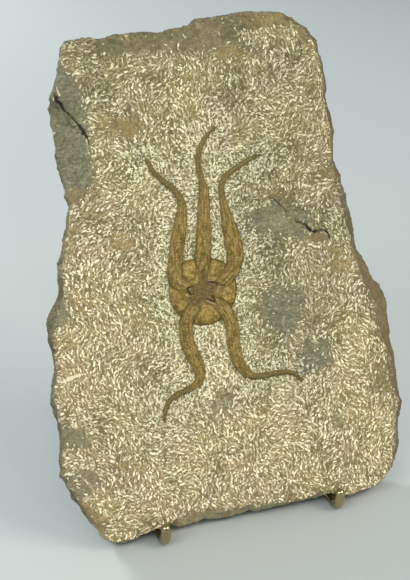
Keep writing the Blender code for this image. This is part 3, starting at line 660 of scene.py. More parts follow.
def scribe_stroke_group():
    """Short rods scattered over a plane in millimetres: where they are, how pale each one is, and a ring of painted
    shade round each.
    """
    tree = bpy.data.node_groups.new("scribe_strokes", "ShaderNodeTree")
    tree.interface.new_socket("Place", in_out="INPUT", socket_type="NodeSocketVector")
    for name, value in STROKE_INPUTS.items():
        tree.interface.new_socket(name, in_out="INPUT", socket_type="NodeSocketFloat").default_value = value
    for name in ("Stroke", "Tone", "Shade_Round"):
        tree.interface.new_socket(name, in_out="OUTPUT", socket_type="NodeSocketFloat")
    given = tree.nodes.new("NodeGroupInput").outputs
    out = tree.nodes.new("NodeGroupOutput")
    nodes = Nodes(tree)

    # One rod for each cell, turned, long and wide by that cell's own chances
    scaled = nodes.vector("SCALE", given["Place"], Scale=nodes.math("DIVIDE", 1.0, given["Spacing"]))
    cells = nodes.add("TexVoronoi", {"voronoi_dimensions": "2D", "feature": "F1"}, Vector=scaled, Scale=1.0,
                      Randomness=0.9).outputs
    offset = nodes.vector("SUBTRACT", scaled, in1=cells["Position"])
    offset = nodes.vector("SCALE", offset, Scale=given["Spacing"])
    chance = nodes.add("SeparateColor", Color=cells["Color"]).outputs
    luck = nodes.add("TexWhiteNoise", {"noise_dimensions": "2D"}, Vector=cells["Position"]).outputs
    turn = nodes.times(nodes.math("SUBTRACT", chance[0], 0.5), given["Scatter"])
    along = nodes.add("VectorRotate", {"rotation_type": "Z_AXIS", "invert": True}, Vector=offset,
                      Angle=nodes.math("ADD", turn, given["Direction"])).outputs[0]
    parts = nodes.add("SeparateXYZ", Vector=along).outputs
    half_length = nodes.times(nodes.ramp(chance[1], 0.0, 1.0, STROKE_SHORTEST, STROKE_LONGEST), given["Length"])
    half_width = nodes.times(nodes.ramp(chance[2], 0.0, 1.0, STROKE_THINNEST, STROKE_WIDEST), given["Width"])
    beyond = nodes.math("SUBTRACT", nodes.math("ABSOLUTE", parts[0]), half_length)
    gap = nodes.add("CombineXYZ", X=nodes.math("MAXIMUM", beyond, 0.0), Y=parts[1]).outputs[0]
    gap = nodes.add("VectorMath", {"operation": "LENGTH"}, in0=gap).outputs["Value"]
    inner, outer = nodes.times(half_width, 0.55), nodes.times(half_width, 1.35)
    far = nodes.math("ADD", outer, BANK_SHADE_WIDTH)
    made = nodes.math("LESS_THAN", luck["Value"], given["Share"])
    nodes.give(out.inputs["Stroke"], nodes.times(nodes.ramp(gap, inner, outer, 1.0, 0.0), made))
    nodes.give(out.inputs["Shade_Round"], nodes.times(nodes.ramp(gap, outer, far, 1.0, 0.0), made))
    nodes.give(out.inputs["Tone"], nodes.add("SeparateColor", Color=luck["Color"]).outputs[1])
    nodes.lay_out()
    return tree


CREAM = linear(242, 232, 198)
CREAM_DULL = linear(198, 186, 148)
TAN = linear(143, 127, 90)
OLIVE = linear(111, 104, 72)
OCHRE = linear(159, 138, 95)
STONE_GREY = linear(124, 121, 99)
STONE_BROWN = linear(134, 118, 86)
EDGE_BROWN = linear(112, 100, 72)
CRACK_SHADOW = linear(40, 33, 22)
SHADE_LINE_BROWN = linear(74, 60, 40)
BANK_SHADE = linear(98, 90, 62)
# Tints that the colour is multiplied by: where tone is low and high, in two wandering hues, and near the animal
DULL_TINT, PALE_TINT = (0.80, 0.82, 0.80, 1.0), (1.09, 1.055, 1.07, 1.0)
GREEN_TINT, PINK_TINT = (0.985, 1.005, 0.95, 1.0), (1.012, 0.99, 1.02, 1.0)
NEAR_TINT = (0.91, 0.955, 0.935, 1.0)
# Noises over the stone: wave in millimetres, detail, roughness and shift
STONE_NOISES = {
    "cloud": (11.0, 4.0, 0.6, 3.1), "stain": (9.0, 3.0, 0.6, 8.3), "stain_breaks": (3.0, 3.0, 0.7, 1.2),
    "mottle": (2.6, 3.0, 0.7, 7.9), "speckle": (0.9, 3.0, 0.7, 5.5), "grit": (0.42, 2.0, 0.6, 4.1),
    "direction": (13.0, 1.0, 0.5, 6.4), "crowd": (5.5, 2.0, 0.6, 2.7), "worn": (0.8, 2.0, 0.6, 9.1),
    "hue": (16.0, 3.0, 0.6, 2.9), "ragged": (1.0, 3.0, 0.6, 0.7), "grain": (0.6, 3.0, 0.7, 9.9),
}
BRUSHED_TURN, BRUSHED_SCALE, BRUSHED_NOISE = -0.85, (0.4, 1.7, 1.0), (0.8, 3.0, 0.7, 3.7)
# Layers of the scribe's strokes: where the layer is moved to, spacing, scatter of direction, length and width
STROKE_LAYERS = {
    "long": ((0.0, 0.0, 0.0), 1.52, 1.5, 1.45, 0.53),
    "short": ((31.7, 12.9, 0.0), 1.1, 2.2, 0.85, 0.38),
    "dots": ((7.3, 51.9, 0.0), 0.85, 3.0, 0.9, 0.4),
    "faint": ((73.3, 21.4, 0.0), 1.2, 1.4, 1.6, 0.5),
}
WOBBLES = ((0.55, 0.5), (2.2, 0.36))  # scale of each wobble of the strokes, and how far it moves them

siltstone, nodes, shader = new_material("scribed_siltstone")
place_mm = nodes.slab_place()
mask = nodes.attributes(("cut", "grey", "ochre", "brown", "near_animal", "shade_beside_animal", "tone", "face", "lit"))
wave = nodes.noises(place_mm, STONE_NOISES)

# Ground: tan and olive clouded together, stained ochre, brown and grey
ground = nodes.mix(nodes.ramp(wave["cloud"], 0.35, 0.65), OLIVE, TAN)
stain = nodes.math("MAXIMUM", nodes.ramp(wave["stain"], 0.5, 0.72, 0.0, 0.6), mask["ochre"])
stain = nodes.times(stain, wave["stain_breaks"])
ground = nodes.layers(ground, (nodes.times(stain, 1.3, True), OCHRE), (nodes.times(mask["brown"], 0.85), STONE_BROWN),
                      (nodes.times(mask["grey"], 0.9), STONE_GREY))
speckle = nodes.ramp(wave["speckle"], 0.3, 0.7, 0.74, 1.28)
speckle = nodes.times(speckle, nodes.ramp(wave["grit"], 0.34, 0.66, 0.84, 1.17))
speckle = nodes.times(speckle, nodes.ramp(wave["mottle"], 0.3, 0.7, 0.86, 1.12))
brushed = nodes.add("Mapping", {"vector_type": "POINT"}, Vector=place_mm, Rotation=(0.0, 0.0, BRUSHED_TURN),
                    Scale=BRUSHED_SCALE).outputs[0]
brushed = nodes.ramp(nodes.noise(brushed, *BRUSHED_NOISE), 0.32, 0.68, -0.26, 0.28)
speckle = nodes.times(speckle, nodes.math("ADD", nodes.times(brushed, mask["grey"]), 1.0))
ground = nodes.tint(ground, speckle)

# The scribe's strokes lie side by side in patches whose direction wanders
wobble = place_mm
for scale, reach in WOBBLES:
    push = nodes.add("TexNoise", Vector=place_mm, Scale=scale, Detail=1.0).outputs["Color"]
    wobble = nodes.vector("MULTIPLY_ADD", push, in1=(reach, reach, 0.0), in2=wobble)
worn = nodes.ramp(wave["worn"], 0.34, 0.6, 0.45, 1.1)
height_up = nodes.add("SeparateXYZ", Vector=place_mm).outputs[1]
direction = nodes.math("ADD", nodes.ramp(wave["direction"], 0.25, 0.75, -0.6, 2.5),
                       nodes.ramp(height_up, 75.0, 30.0, 0.0, 1.1))
crowd = nodes.math("ADD", wave["crowd"], nodes.times(mask["tone"], 0.03))
share = nodes.times(nodes.ramp(crowd, 0.32, 0.52, 0.2, 1.0), mask["cut"])
shares = {"long": share, "short": nodes.times(share, 0.8), "dots": nodes.times(mask["near_animal"], 0.85),
          "faint": nodes.times(mask["cut"], 0.9)}
stroke_group = scribe_stroke_group()
stroke, paleness, shade_round_stroke = {}, {}, {}
for name, (offset, spacing, scatter, length, width) in STROKE_LAYERS.items():
    layer = nodes.add("Group", {"node_tree": stroke_group}, Place=nodes.vector("ADD", wobble, in1=offset),
                      Spacing=spacing, Direction=direction, Scatter=scatter, Length=length, Width=width,
                      Share=shares[name]).outputs
    stroke[name], paleness[name], shade_round_stroke[name] = layer["Stroke"], layer["Tone"], layer["Shade_Round"]
stroke["short"] = nodes.times(stroke["short"], nodes.math("SUBTRACT", 1.0, nodes.times(shade_round_stroke["long"], 0.8)))

# Painted shade round each stroke, as if in the groove beside it
shade_round_strokes = nodes.math("MAXIMUM", shade_round_stroke["long"], nodes.times(shade_round_stroke["short"], 0.7))
colour = nodes.mix(nodes.times(shade_round_strokes, 0.74), ground, BANK_SHADE)
colour = nodes.mix(nodes.times(stroke["faint"], 0.45), colour, CREAM_DULL)
for name in ("long", "short", "dots"):
    strength = nodes.times(stroke[name], nodes.ramp(paleness[name], 0.0, 1.0, 0.42, 1.25))
    colour = nodes.mix(nodes.times(strength, worn, True), colour, CREAM)

colour = nodes.tint(colour, nodes.mix(nodes.ramp(mask["tone"], -1.0, 1.0), DULL_TINT, PALE_TINT))
colour = nodes.tint(colour, nodes.mix(nodes.ramp(wave["hue"], 0.36, 0.64), GREEN_TINT, PINK_TINT))
colour = nodes.mix(mask["near_animal"], colour, nodes.tint(colour, NEAR_TINT))
# Painted shade on the stone just beside the raised animal
colour = nodes.mix(nodes.times(mask["shade_beside_animal"], 0.15), colour, BANK_SHADE)

# Off the face the stone is plain, brown-grey and weathered
plain = nodes.layers(EDGE_BROWN, (nodes.ramp(wave["cloud"], 0.3, 0.7), STONE_GREY),
                     (nodes.times(mask["brown"], 0.8), STONE_BROWN), (nodes.times(stain, 0.6, True), OCHRE))
colour = nodes.mix(mask["face"], nodes.tint(plain, speckle), colour)
# Painted light and shade: the broken edge darker, its foot lighter, and the bare bands and chips darker
colour = nodes.tint(colour, mask["lit"])

# Thin painted lines with ragged edges, for highlights, shade and shadow: each kind's attribute name, colour and
# strength
ragged = nodes.ramp(wave["ragged"], 0.3, 0.7, -0.6, 0.8)
for name, drawn, most in (("edge_highlight", CREAM, 0.7), ("shade_line", SHADE_LINE_BROWN, 0.78), ("crack", CRACK_SHADOW, 0.93)):
    line = nodes.attributes((name + "_gap", name + "_reach"))
    gap = nodes.math("ADD", nodes.math("ABSOLUTE", line[name + "_gap"]), ragged)
    reach = nodes.times(nodes.ramp(gap, 0.6, 1.6, most, 0.0), line[name + "_reach"])
    colour = nodes.mix(reach, colour, drawn)
shader.inputs["Roughness"].default_value = 0.85
shader.inputs["Specular IOR Level"].default_value = 0.25
pits = nodes.math("MAXIMUM", stroke["long"], stroke["short"])
grain = nodes.math("SUBTRACT", nodes.times(wave["grain"], 0.7), nodes.times(pits, 0.5))
nodes.surface(shader, colour, grain, 0.6, 0.12)
finish_mesh(slab_mesh, siltstone)
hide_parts("slab")
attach(slab_stone, "root")

# ---------------------------------------------------------------------------------------------------
# The animal
# A brittle star turned to brown calcite, lying mouth side up and proud of the stone by about its own
# thickness. Its disc and five arms are one crust, joined to the slab all over its underside.
# ---------------------------------------------------------------------------------------------------

STAR_CENTRE = np.array([-7.55, 73.7])
STAR_CELL = 0.17  # of the sheet that the animal is raised from
STAR_LOW, STAR_HIGH = np.array([-26.5, 35.0]), np.array([22.5, 123.0])
STAR_SKIRT = -0.5  # the crust is cut off this deep under the slab's face
SKIRT_DROP = 0.3
STAR_BOTTOM = -0.8
DISC_RADIUS = 10.7
DISC_HEIGHT = 1.12
DISC_FLAT_TOP = 0.12  # the disc is this much shorter between its two upper lobes
LOBE_DIP, LOBE_SWELL = 0.14, 0.16
SEAM_DEPTH = 0.16
# Outlines of the lobes, from the disc's centre
LOBES = [
    [(-5.1, 8.9), (-2.9, 9.7), (-1.4, 9.0), (-1.4, 6.7), (-2.7, 3.6), (-4.6, 3.2), (-6.2, 4.9), (-6.3, 7.3)],
    [(2.9, 8.8), (4.7, 8.6), (6.5, 7.2), (5.6, 5.2), (4.2, 3.6), (2.5, 3.8)],
    [(4.5, -1.8), (6.0, 0.4), (8.4, 2.2), (10.2, 1.4), (10.2, -2.2), (9.1, -5.4), (6.6, -5.0), (5.1, -4.0)],
    [
        (-1.8, -4.5), (0.1, -4.0), (2.8, -5.4), (4.6, -8.1), (3.4, -10.3), (0.5, -10.9), (-2.1, -9.8),
        (-3.1, -7.9),
    ],
    [
        (-10.5, 2.5), (-9.3, 2.1), (-6.9, -0.6), (-5.2, -2.3), (-5.9, -4.9), (-8.1, -5.7), (-10.2, -2.5),
        (-10.7, 0.5),
    ],
]
ARM_HEIGHT, ARM_HEIGHT_PER_WIDTH = 0.55, 0.18
PLATE_LENGTH, PLATE_LENGTH_PER_WIDTH = 0.42, 0.14
PLATE_EDGE = 0.56  # where the inner rows of plates meet the side rows, as a share of the arm's half width
ARM_STATIONS = 260
OFF_ARM = 9.0  # stands for the place across an arm, and the gap to its edge, where no arm is near
STREAK_SHIFT = 40.0  # keeps the streaks of one arm unlike those of the next
# Each arm from the mouth to its tip: u and v from the disc's centre, and width
ARMS = {
    "upper_left": [
        (-2.8, 0.5, 1.6), (-5.6, 1.6, 3.4), (-7.9, 3.4, 4.4), (-8.1, 6.4, 4.4), (-7.2, 10.4, 4.2),
        (-6.4, 14.0, 4.4), (-5.3, 18.0, 4.3), (-4.0, 22.6, 3.2), (-3.6, 26.4, 2.2), (-5.4, 30.1, 1.9),
        (-8.4, 32.9, 1.6), (-11.1, 36.2, 1.4), (-12.6, 39.5, 0.9),
    ],
    "top": [
        (0.1, 3.0, 1.6), (0.3, 5.6, 3.6), (0.7, 8.4, 4.8), (1.6, 12.6, 4.9), (2.2, 17.0, 4.4), (2.9, 23.0, 3.8),
        (3.6, 28.6, 3.0), (3.3, 32.0, 1.9), (2.9, 35.0, 1.6), (3.0, 38.5, 1.5), (4.1, 41.6, 1.4),
        (6.3, 44.7, 1.2), (9.2, 47.0, 0.8),
    ],
    "upper_right": [
        (2.9, 0.4, 1.6), (5.8, 1.5, 3.6), (8.4, 3.4, 4.7), (10.3, 6.0, 4.9), (11.1, 9.6, 5.2),
        (10.9, 13.6, 5.4), (10.2, 17.8, 4.4), (9.6, 22.0, 3.0), (9.2, 26.0, 2.1), (9.2, 29.6, 1.8),
        (10.6, 32.2, 1.8), (13.8, 34.2, 1.6), (18.2, 36.4, 1.3), (22.2, 37.7, 0.8),
    ],
    "lower_left": [
        (-1.2, -2.2, 1.6), (-3.0, -4.2, 3.4), (-5.2, -6.6, 4.3), (-6.5, -9.6, 4.4), (-6.7, -14.2, 4.3),
        (-5.5, -18.6, 4.2), (-4.1, -22.8, 3.9), (-4.4, -26.4, 2.7), (-7.4, -28.4, 1.9), (-11.0, -29.4, 1.6),
        (-14.1, -31.0, 1.5), (-15.7, -33.8, 1.3), (-16.4, -36.6, 0.8),
    ],
    "lower_right": [
        (1.7, -2.4, 1.6), (3.8, -4.6, 3.6), (6.2, -7.4, 4.4), (7.6, -11.4, 4.2), (7.6, -16.4, 4.2),
        (7.9, -21.0, 3.9), (9.8, -25.4, 3.1), (12.8, -27.8, 2.0), (16.3, -28.1, 1.6), (19.8, -28.0, 1.5),
        (23.8, -28.2, 1.4), (26.6, -29.6, 1.2), (28.0, -31.4, 0.8),
    ],
}
MOUTH_OUTLINE = [
    (-1.2, 2.8), (-0.9, 4.5), (-0.4, 5.6), (0.4, 6.0), (1.1, 5.5), (1.3, 4.2), (1.5, 2.9), (2.8, 2.5),
    (4.6, 1.7), (5.1, 0.9), (4.1, 0.0), (3.0, -1.1), (2.7, -2.2), (3.2, -3.9), (1.7, -3.9), (0.4, -3.1),
    (-0.7, -3.8), (-2.1, -4.5), (-3.6, -4.5), (-5.1, -3.8), (-5.4, -2.5), (-4.6, -1.2), (-5.0, -0.2),
    (-5.6, 0.8), (-4.5, 1.4), (-3.0, 1.8), (-1.7, 2.1),
]
MOUTH_FLOOR = 0.78
SLIT_DEPTH, LIP_HEIGHT = 0.55, 0.14
MOUTH_SLITS = [
    [(-3.2, 1.4), (-4.5, 1.2), (-5.1, 1.0), (-4.8, 0.1), (-4.0, -1.0)],
    [(1.8, 2.1), (3.1, 1.9), (4.5, 1.2)],
    [(5.3, 0.7), (6.7, 0.5)],
    [(0.8, -2.9), (1.8, -3.5), (2.8, -4.0), (2.9, -2.8), (2.4, -2.0)],
]
MOUTH_LIPS = [
    [(0.4, -3.2), (1.4, -3.9), (2.5, -4.5)],
    [(3.4, -3.3), (4.0, -4.3)],
    [(4.8, 0.4), (4.2, -0.5), (3.8, -1.2)],
    [(1.6, 2.6), (3.1, 2.3)],
    [(-7.8, 4.0), (-7.3, 3.7), (-6.9, 2.7)],
    [(-5.9, 1.9), (-5.3, 2.0)],
]


def smooth_route(points, stations):
    """Catmull-Rom route through points of any dimension, with evenly shared stations."""
    given = np.array([points[0]] + list(points) + [points[-1]])
    place = np.linspace(0.0, len(points) - 1.0, stations)
    k = np.minimum(place.astype(int), len(points) - 2)
    t = (place - k)[:, None]
    a, b, c, d = given[k], given[k + 1], given[k + 2], given[k + 3]
    return 0.5 * (2.0 * b + (c - a) * t + (2.0 * a - 5.0 * b + 4.0 * c - d) * t ** 2
                  + (3.0 * b - a - 3.0 * c + d) * t ** 3)


def arm_coordinates(uv, route):
    """For each point: distance along the arm, place across it (1 at its edge, signed) and its width there."""
    steps = np.linalg.norm(np.diff(route[:, :2], axis=0), axis=1)
    run = np.concatenate([[0.0], np.cumsum(steps)])
    nearest = np.full(len(uv), FAR)
    along = np.zeros(len(uv))
    across = np.full(len(uv), OFF_ARM)
    width = np.ones(len(uv))
    for i in range(len(route) - 1):
        a, b = route[i, :2], route[i + 1, :2]
        reach = route[i, 2] / 2.0 + 1.5
        close = np.flatnonzero((np.abs(uv[:, 0] - a[0]) < reach) & (np.abs(uv[:, 1] - a[1]) < reach))
        from_a = uv[close] - a
        share = from_a @ (b - a) / ((b - a) @ (b - a))
        share = np.clip(share, -9.0 if i == 0 else 0.0, 1.0)
        share = np.where(share < 0.0, share * 0.5, share)
        away = from_a - share[:, None] * (b - a)
        distance = np.linalg.norm(away, axis=1)
        better = distance < nearest[close]
        chosen = close[better]
        side = np.sign((b - a)[0] * away[better, 1] - (b - a)[1] * away[better, 0])
        nearest[chosen] = distance[better]
        width[chosen] = route[i, 2] + share[better] * (route[i + 1, 2] - route[i, 2])
        along[chosen] = run[i] + share[better] * steps[i]
        across[chosen] = side * distance[better] / (width[chosen] / 2.0)
    return along, across, width


def arm_relief(along, across, width):
    """Height of an arm over the slab's face: a flat-topped rod of plates in two rows with a row at each side."""
    out = np.abs(across)
    body = (ARM_HEIGHT + ARM_HEIGHT_PER_WIDTH * width) * np.sqrt(np.clip(1.0 - out ** 3.0, 0.0, 1.0))
    size = np.clip(width / 4.4, 0.25, 1.0)
    pitch = PLATE_LENGTH + PLATE_LENGTH_PER_WIDTH * width
    beat = along / pitch + np.where(across > 0.0, 0.5, 0.0)
    middle_line = 0.09 * np.sin(2.0 * np.pi * beat * 0.999)
    groove = 0.13 * np.exp(-((across - middle_line) / 0.09) ** 2) + 0.10 * np.exp(-((out - PLATE_EDGE) / 0.07) ** 2)
    inner_seam = np.abs(np.mod(beat + 0.25 * out, 1.0) - 0.5) * 2.0
    side_seam = np.abs(np.mod(beat - 0.9 * out + 0.3, 1.0) - 0.5) * 2.0
    seam = np.where(out < PLATE_EDGE, inner_seam, side_seam)
    seams = 0.07 * smooth_step(0.72, 1.0, seam) * (1.0 - smooth_step(0.9, 1.05, out))
    beyond = np.clip(out - 1.0, 0.0, None) * width * 1.1
    return body - (groove + seams) * size - beyond


cell_counts = np.round((STAR_HIGH - STAR_LOW) / STAR_CELL).astype(int)
bpy.ops.object.select_all(action="DESELECT")
bpy.ops.mesh.primitive_grid_add(x_subdivisions=int(cell_counts[0]), y_subdivisions=int(cell_counts[1]), size=1.0)
star = bpy.context.object
star.name = "brittle_star_crust"
star_mesh = star.data
star_uv = STAR_LOW + (vertex_vectors(star_mesh)[:, :2] + 0.5) * (STAR_HIGH - STAR_LOW)
from_centre = star_uv - STAR_CENTRE
bearing = np.arctan2(from_centre[:, 1], from_centre[:, 0])
radius = np.hypot(from_centre[:, 0], from_centre[:, 1])

# Disc: a low dome with five swollen lobes, the arms let into it between them
lobe_depth = np.max([depth_inside(from_centre, outline) for outline in LOBES], axis=0)
flattened = 1.0 - DISC_FLAT_TOP * np.exp(-((bearing - 1.5) / 0.55) ** 2.0)
disc_share = radius / (DISC_RADIUS * flattened)
disc = DISC_HEIGHT * np.sqrt(np.clip(1.0 - disc_share ** 5.0, 0.0, 1.0)) - LOBE_DIP
disc += (LOBE_DIP + LOBE_SWELL) * smooth_step(-0.5, 1.1, lobe_depth) * (1.0 - smooth_step(0.8, 1.0, disc_share))
height = disc - np.clip(disc_share - 1.0, 0.0, None) * DISC_RADIUS * 1.2
arm_share, along, across = (np.zeros(len(star_uv)) for _ in range(3))
arm_width = np.full(len(star_uv), 4.0)
arm_edge = np.full(len(star_uv), OFF_ARM)
for k, points in enumerate(ARMS.values()):
    s, t, width = arm_coordinates(from_centre, smooth_route(points, ARM_STATIONS))
    arm = arm_relief(s, t, width)
    arm = np.where(s < 5.0, np.minimum(arm, DISC_HEIGHT + 0.3 + 0.2 * smooth_step(1.0, 5.0, s)), arm)
    on_top = arm > height
    height = np.where(on_top, arm, height)
    arm_share[on_top] = 1.0
    along[on_top] = s[on_top] + STREAK_SHIFT * k
    across[on_top] = t[on_top]
    arm_width[on_top] = width[on_top]
    arm_edge = np.minimum(arm_edge, np.abs(np.abs(t) - 0.96) * width / 2.0)
in_disc = 1.0 - smooth_step(0.97, 1.08, disc_share)
arm_seam = (1.0 - smooth_step(0.1, 0.55, arm_edge)) * in_disc
lobe_seam = (1.0 - smooth_step(0.1, 0.6, np.abs(lobe_depth + 0.1))) * in_disc * (1.0 - arm_share)
seam = np.maximum(arm_seam, 0.85 * lobe_seam)
height = height - SEAM_DEPTH * seam

# Mouth: a five-pointed recess between the jaws, with open slits painted near black as shadow, and raised lips round
# it painted pale as a highlight
mouth_depth = depth_inside(from_centre, MOUTH_OUTLINE)
mouth = smooth_step(-0.35, 0.35, mouth_depth)
wrinkles = 0.07 * np.sin(bearing * 15.0 + 1.5 * np.sin(radius * 1.3)) * smooth_step(0.6, 2.0, radius)
height = height * (1.0 - mouth) + (MOUTH_FLOOR + wrinkles) * mouth
seam = np.maximum(seam * (1.0 - mouth), 0.4 * (1.0 - smooth_step(0.1, 0.45, np.abs(mouth_depth))))
slit = 1.0 - smooth_step(0.03, 0.2, nearest_line(from_centre, MOUTH_SLITS))
lip = 1.0 - smooth_step(0.05, 0.32, nearest_line(from_centre, MOUTH_LIPS))
height = height - SLIT_DEPTH * slit + LIP_HEIGHT * lip * (1.0 - slit)

near = height > STAR_SKIRT - 0.4
spots = np.column_stack([star_uv[near], np.zeros(near.sum())])
height[near] += 0.035 * fractal(spots, 2.2, 3, 5) + 0.02 * fractal(spots, 0.6, 2, 6)
set_vertex_places(star_mesh, row_points(np.column_stack([star_uv, height])))
# Where the crust faces left: those flanks get painted light and no painted shade
left_flank = smooth_step(0.2, 0.65, -vertex_vectors(star_mesh, "normal")[:, 0])
shown = {"arm": arm_share, "along": along, "across": across, "arm_width": arm_width, "mouth": mouth,
         "slit": slit, "lip": lip, "seam": seam, "rise": height, "left_flank": left_flank}
for name, values in shown.items():
    add_attribute(star_mesh, name, values)

# Cut the sheet to the animal, then draw its edge down into the stone and close it underneath
lowest = height[corner_vertices(star_mesh)].reshape(-1, 4).min(axis=1)
only_active(star)
bpy.ops.object.mode_set(mode="EDIT")
bpy.ops.mesh.select_mode(type="FACE")
bpy.ops.mesh.select_all(action="DESELECT")
to_object_mode()
star_mesh.polygons.foreach_set("select", lowest < STAR_SKIRT)
bpy.ops.object.mode_set(mode="EDIT")
bpy.ops.mesh.delete(type="FACE")
bpy.ops.mesh.select_mode(type="EDGE")
bpy.ops.mesh.select_non_manifold(extend=False)
bpy.ops.mesh.extrude_region_move(TRANSFORM_OT_translate={"value": tuple(OUTWARD * -SKIRT_DROP * MM)})
to_object_mode()
edge_points = np.zeros(len(star_mesh.vertices), dtype=bool)
star_mesh.vertices.foreach_get("select", edge_points)
uvw = slab_coordinates(vertex_vectors(star_mesh))
uvw[edge_points, 2] = STAR_BOTTOM
set_vertex_places(star_mesh, row_points(uvw))
bpy.ops.object.mode_set(mode="EDIT")
bpy.ops.mesh.edge_face_add()
bpy.ops.mesh.select_all(action="SELECT")
make_triangles()
bpy.ops.mesh.normals_make_consistent(inside=False)
to_object_mode()

CALCITE_BROWN = linear(119, 99, 50)
CALCITE_PALE = linear(144, 124, 73)
CALCITE_DARK = linear(78, 67, 34)
CALCITE_PINK = linear(136, 108, 70)
CALCITE_GREEN = linear(99, 98, 54)
THIN_DULL = linear(94, 86, 52)
LOBE_GOLD = linear(140, 118, 61)
LOBE_LIGHT = linear(162, 141, 84)
LOBE_DARK = linear(106, 89, 46)
MOUTH_BROWN = linear(110, 93, 59)
MOUTH_SHADE = linear(86, 72, 43)
SLIT_SHADOW = linear(34, 26, 18)
LIP_HIGHLIGHT = linear(182, 156, 132)
STREAK_ALONG, STREAK_ACROSS, STREAK_NOISE = 0.16, 1.5, (0.42, 3.0, 0.6, 4.0)
# Noises over the animal: wave in millimetres, detail, roughness and shift
STAR_NOISES = {
    "blotch": (1.5, 3.0, 0.65, 7.7), "tinge": (1.3, 3.0, 0.7, 6.6), "mouth_tone": (0.9, 3.0, 0.7, 3.3),
    "speckle": (0.55, 2.0, 0.7, 2.2), "grain": (0.35, 2.0, 0.7, 1.1),
}

calcite, nodes, shader = new_material("brown_calcite")
wave = nodes.noises(nodes.slab_place(), STAR_NOISES)
mask = nodes.attributes(shown)

# Arms: brown, streaked along their length and darker towards the thin tips. Each side is darkened with painted shade,
# which is left out on flanks that face left; those are painted paler instead, as painted light
streak = nodes.add("CombineXYZ", X=nodes.times(mask["along"], STREAK_ALONG),
                   Y=nodes.times(mask["across"], STREAK_ACROSS)).outputs[0]
streak = nodes.noise(streak, *STREAK_NOISE)
side_shade_most = nodes.math("SUBTRACT", 0.9, nodes.times(mask["left_flank"], 0.9))
side = nodes.times(nodes.ramp(nodes.math("ABSOLUTE", mask["across"]), 0.72, 0.97), side_shade_most)
arm_colour = nodes.layers(
    CALCITE_BROWN, (nodes.ramp(streak, 0.48, 0.58), CALCITE_PALE),
    (nodes.ramp(streak, 0.47, 0.38, 0.0, 0.6), CALCITE_DARK), (side, CALCITE_DARK),
    (nodes.ramp(mask["arm_width"], 2.9, 1.6, 0.0, 0.72), THIN_DULL),
    (nodes.times(mask["left_flank"], 0.3), CALCITE_PALE))

# Disc: golden, clouded in soft blotches about as large as its scales, with painted shade on its low edge except where
# it faces left
low_edge_shade = nodes.times(nodes.ramp(mask["rise"], 0.85, 0.2, 0.0, 0.8), side_shade_most)
disc_colour = nodes.layers(
    LOBE_GOLD, (nodes.ramp(wave["blotch"], 0.5, 0.66), LOBE_LIGHT),
    (nodes.ramp(wave["blotch"], 0.5, 0.34), LOBE_DARK), (low_edge_shade, CALCITE_DARK))
mouth_colour = nodes.mix(nodes.ramp(wave["mouth_tone"], 0.35, 0.62), MOUTH_SHADE, MOUTH_BROWN)
colour = nodes.layers(
    disc_colour, (mask["arm"], arm_colour), (nodes.ramp(wave["tinge"], 0.52, 0.66, 0.0, 0.45), CALCITE_PINK),
    (nodes.ramp(wave["tinge"], 0.48, 0.34, 0.0, 0.5), CALCITE_GREEN), (nodes.times(mask["mouth"], 0.9), mouth_colour))
colour = nodes.tint(colour, nodes.ramp(wave["speckle"], 0.33, 0.67, 0.66, 1.34))
# Painted shade in the grooves where arms, lobes and mouth meet, a painted highlight on the raised lips and painted
# shadow in the open slits
colour = nodes.layers(colour, (nodes.times(mask["seam"], 0.66), CALCITE_DARK),
                      (nodes.times(mask["lip"], 0.5), LIP_HIGHLIGHT), (mask["slit"], SLIT_SHADOW))
shader.inputs["Roughness"].default_value = 0.6
shader.inputs["Specular IOR Level"].default_value = 0.14
nodes.surface(shader, colour, wave["grain"], 0.5, 0.06)
finish_mesh(star_mesh, calcite)
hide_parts("brittle_star")
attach(star, "root")

# ---------------------------------------------------------------------------------------------------
# The stand
# One length of drawn brass wire, bent cold: two upturned hooks that hold the slab's foot, two runs back
# along the table, and a bow behind that the slab leans on. Its two cut ends are rounded off.
# ---------------------------------------------------------------------------------------------------

WIRE_RADIUS = 1.6
HOOK_SPACING = 56.0
HOOK_TOP = 8.2
STAND_REAR = 70.0
RAIL_U_V_W = (0.0, 88.0, -16.8)  # where the bow's level top run passes behind the slab
HOOK_BEND, REAR_BEND, RAIL_BEND = 3.0, 6.0, 7.0
BEND_STEPS = 9
HOOKS_MIDPOINT = Vector((0.081, -33.897, 0.0))  # on the table, in the row frame
TIP_ANGLES = (80.0, 60.0, 40.0, 20.0)  # of the rings that dome each tip


def rounded_route(corners, bends):
    """A route through corners, each turned on an arc of its own radius."""
    route = [corners[0]]
    for before, corner, after, radius in zip(corners, corners[1:], corners[2:], bends):
        into = (corner - before).normalized()
        out = (after - corner).normalized()
        turn = into.angle(out)
        start = corner - into * radius * math.tan(turn / 2.0)
        toward = (out - into * into.dot(out)).normalized()
        for step in range(BEND_STEPS + 1):
            angle = turn * step / BEND_STEPS
            route.append(start + into * radius * math.sin(angle) + toward * radius * (1.0 - math.cos(angle)))
    route.append(corners[-1])
    return route


def domed_tip(tip, after):
    """Places and radii, from the tip inwards, that close the wire's end in over one radius."""
    inwards = (after - tip).normalized() * WIRE_RADIUS
    angles = [math.radians(a) for a in TIP_ANGLES]
    return [(tip + inwards * (1.0 - math.sin(a)), math.cos(a)) for a in angles] + [(tip + inwards, 1.0)]


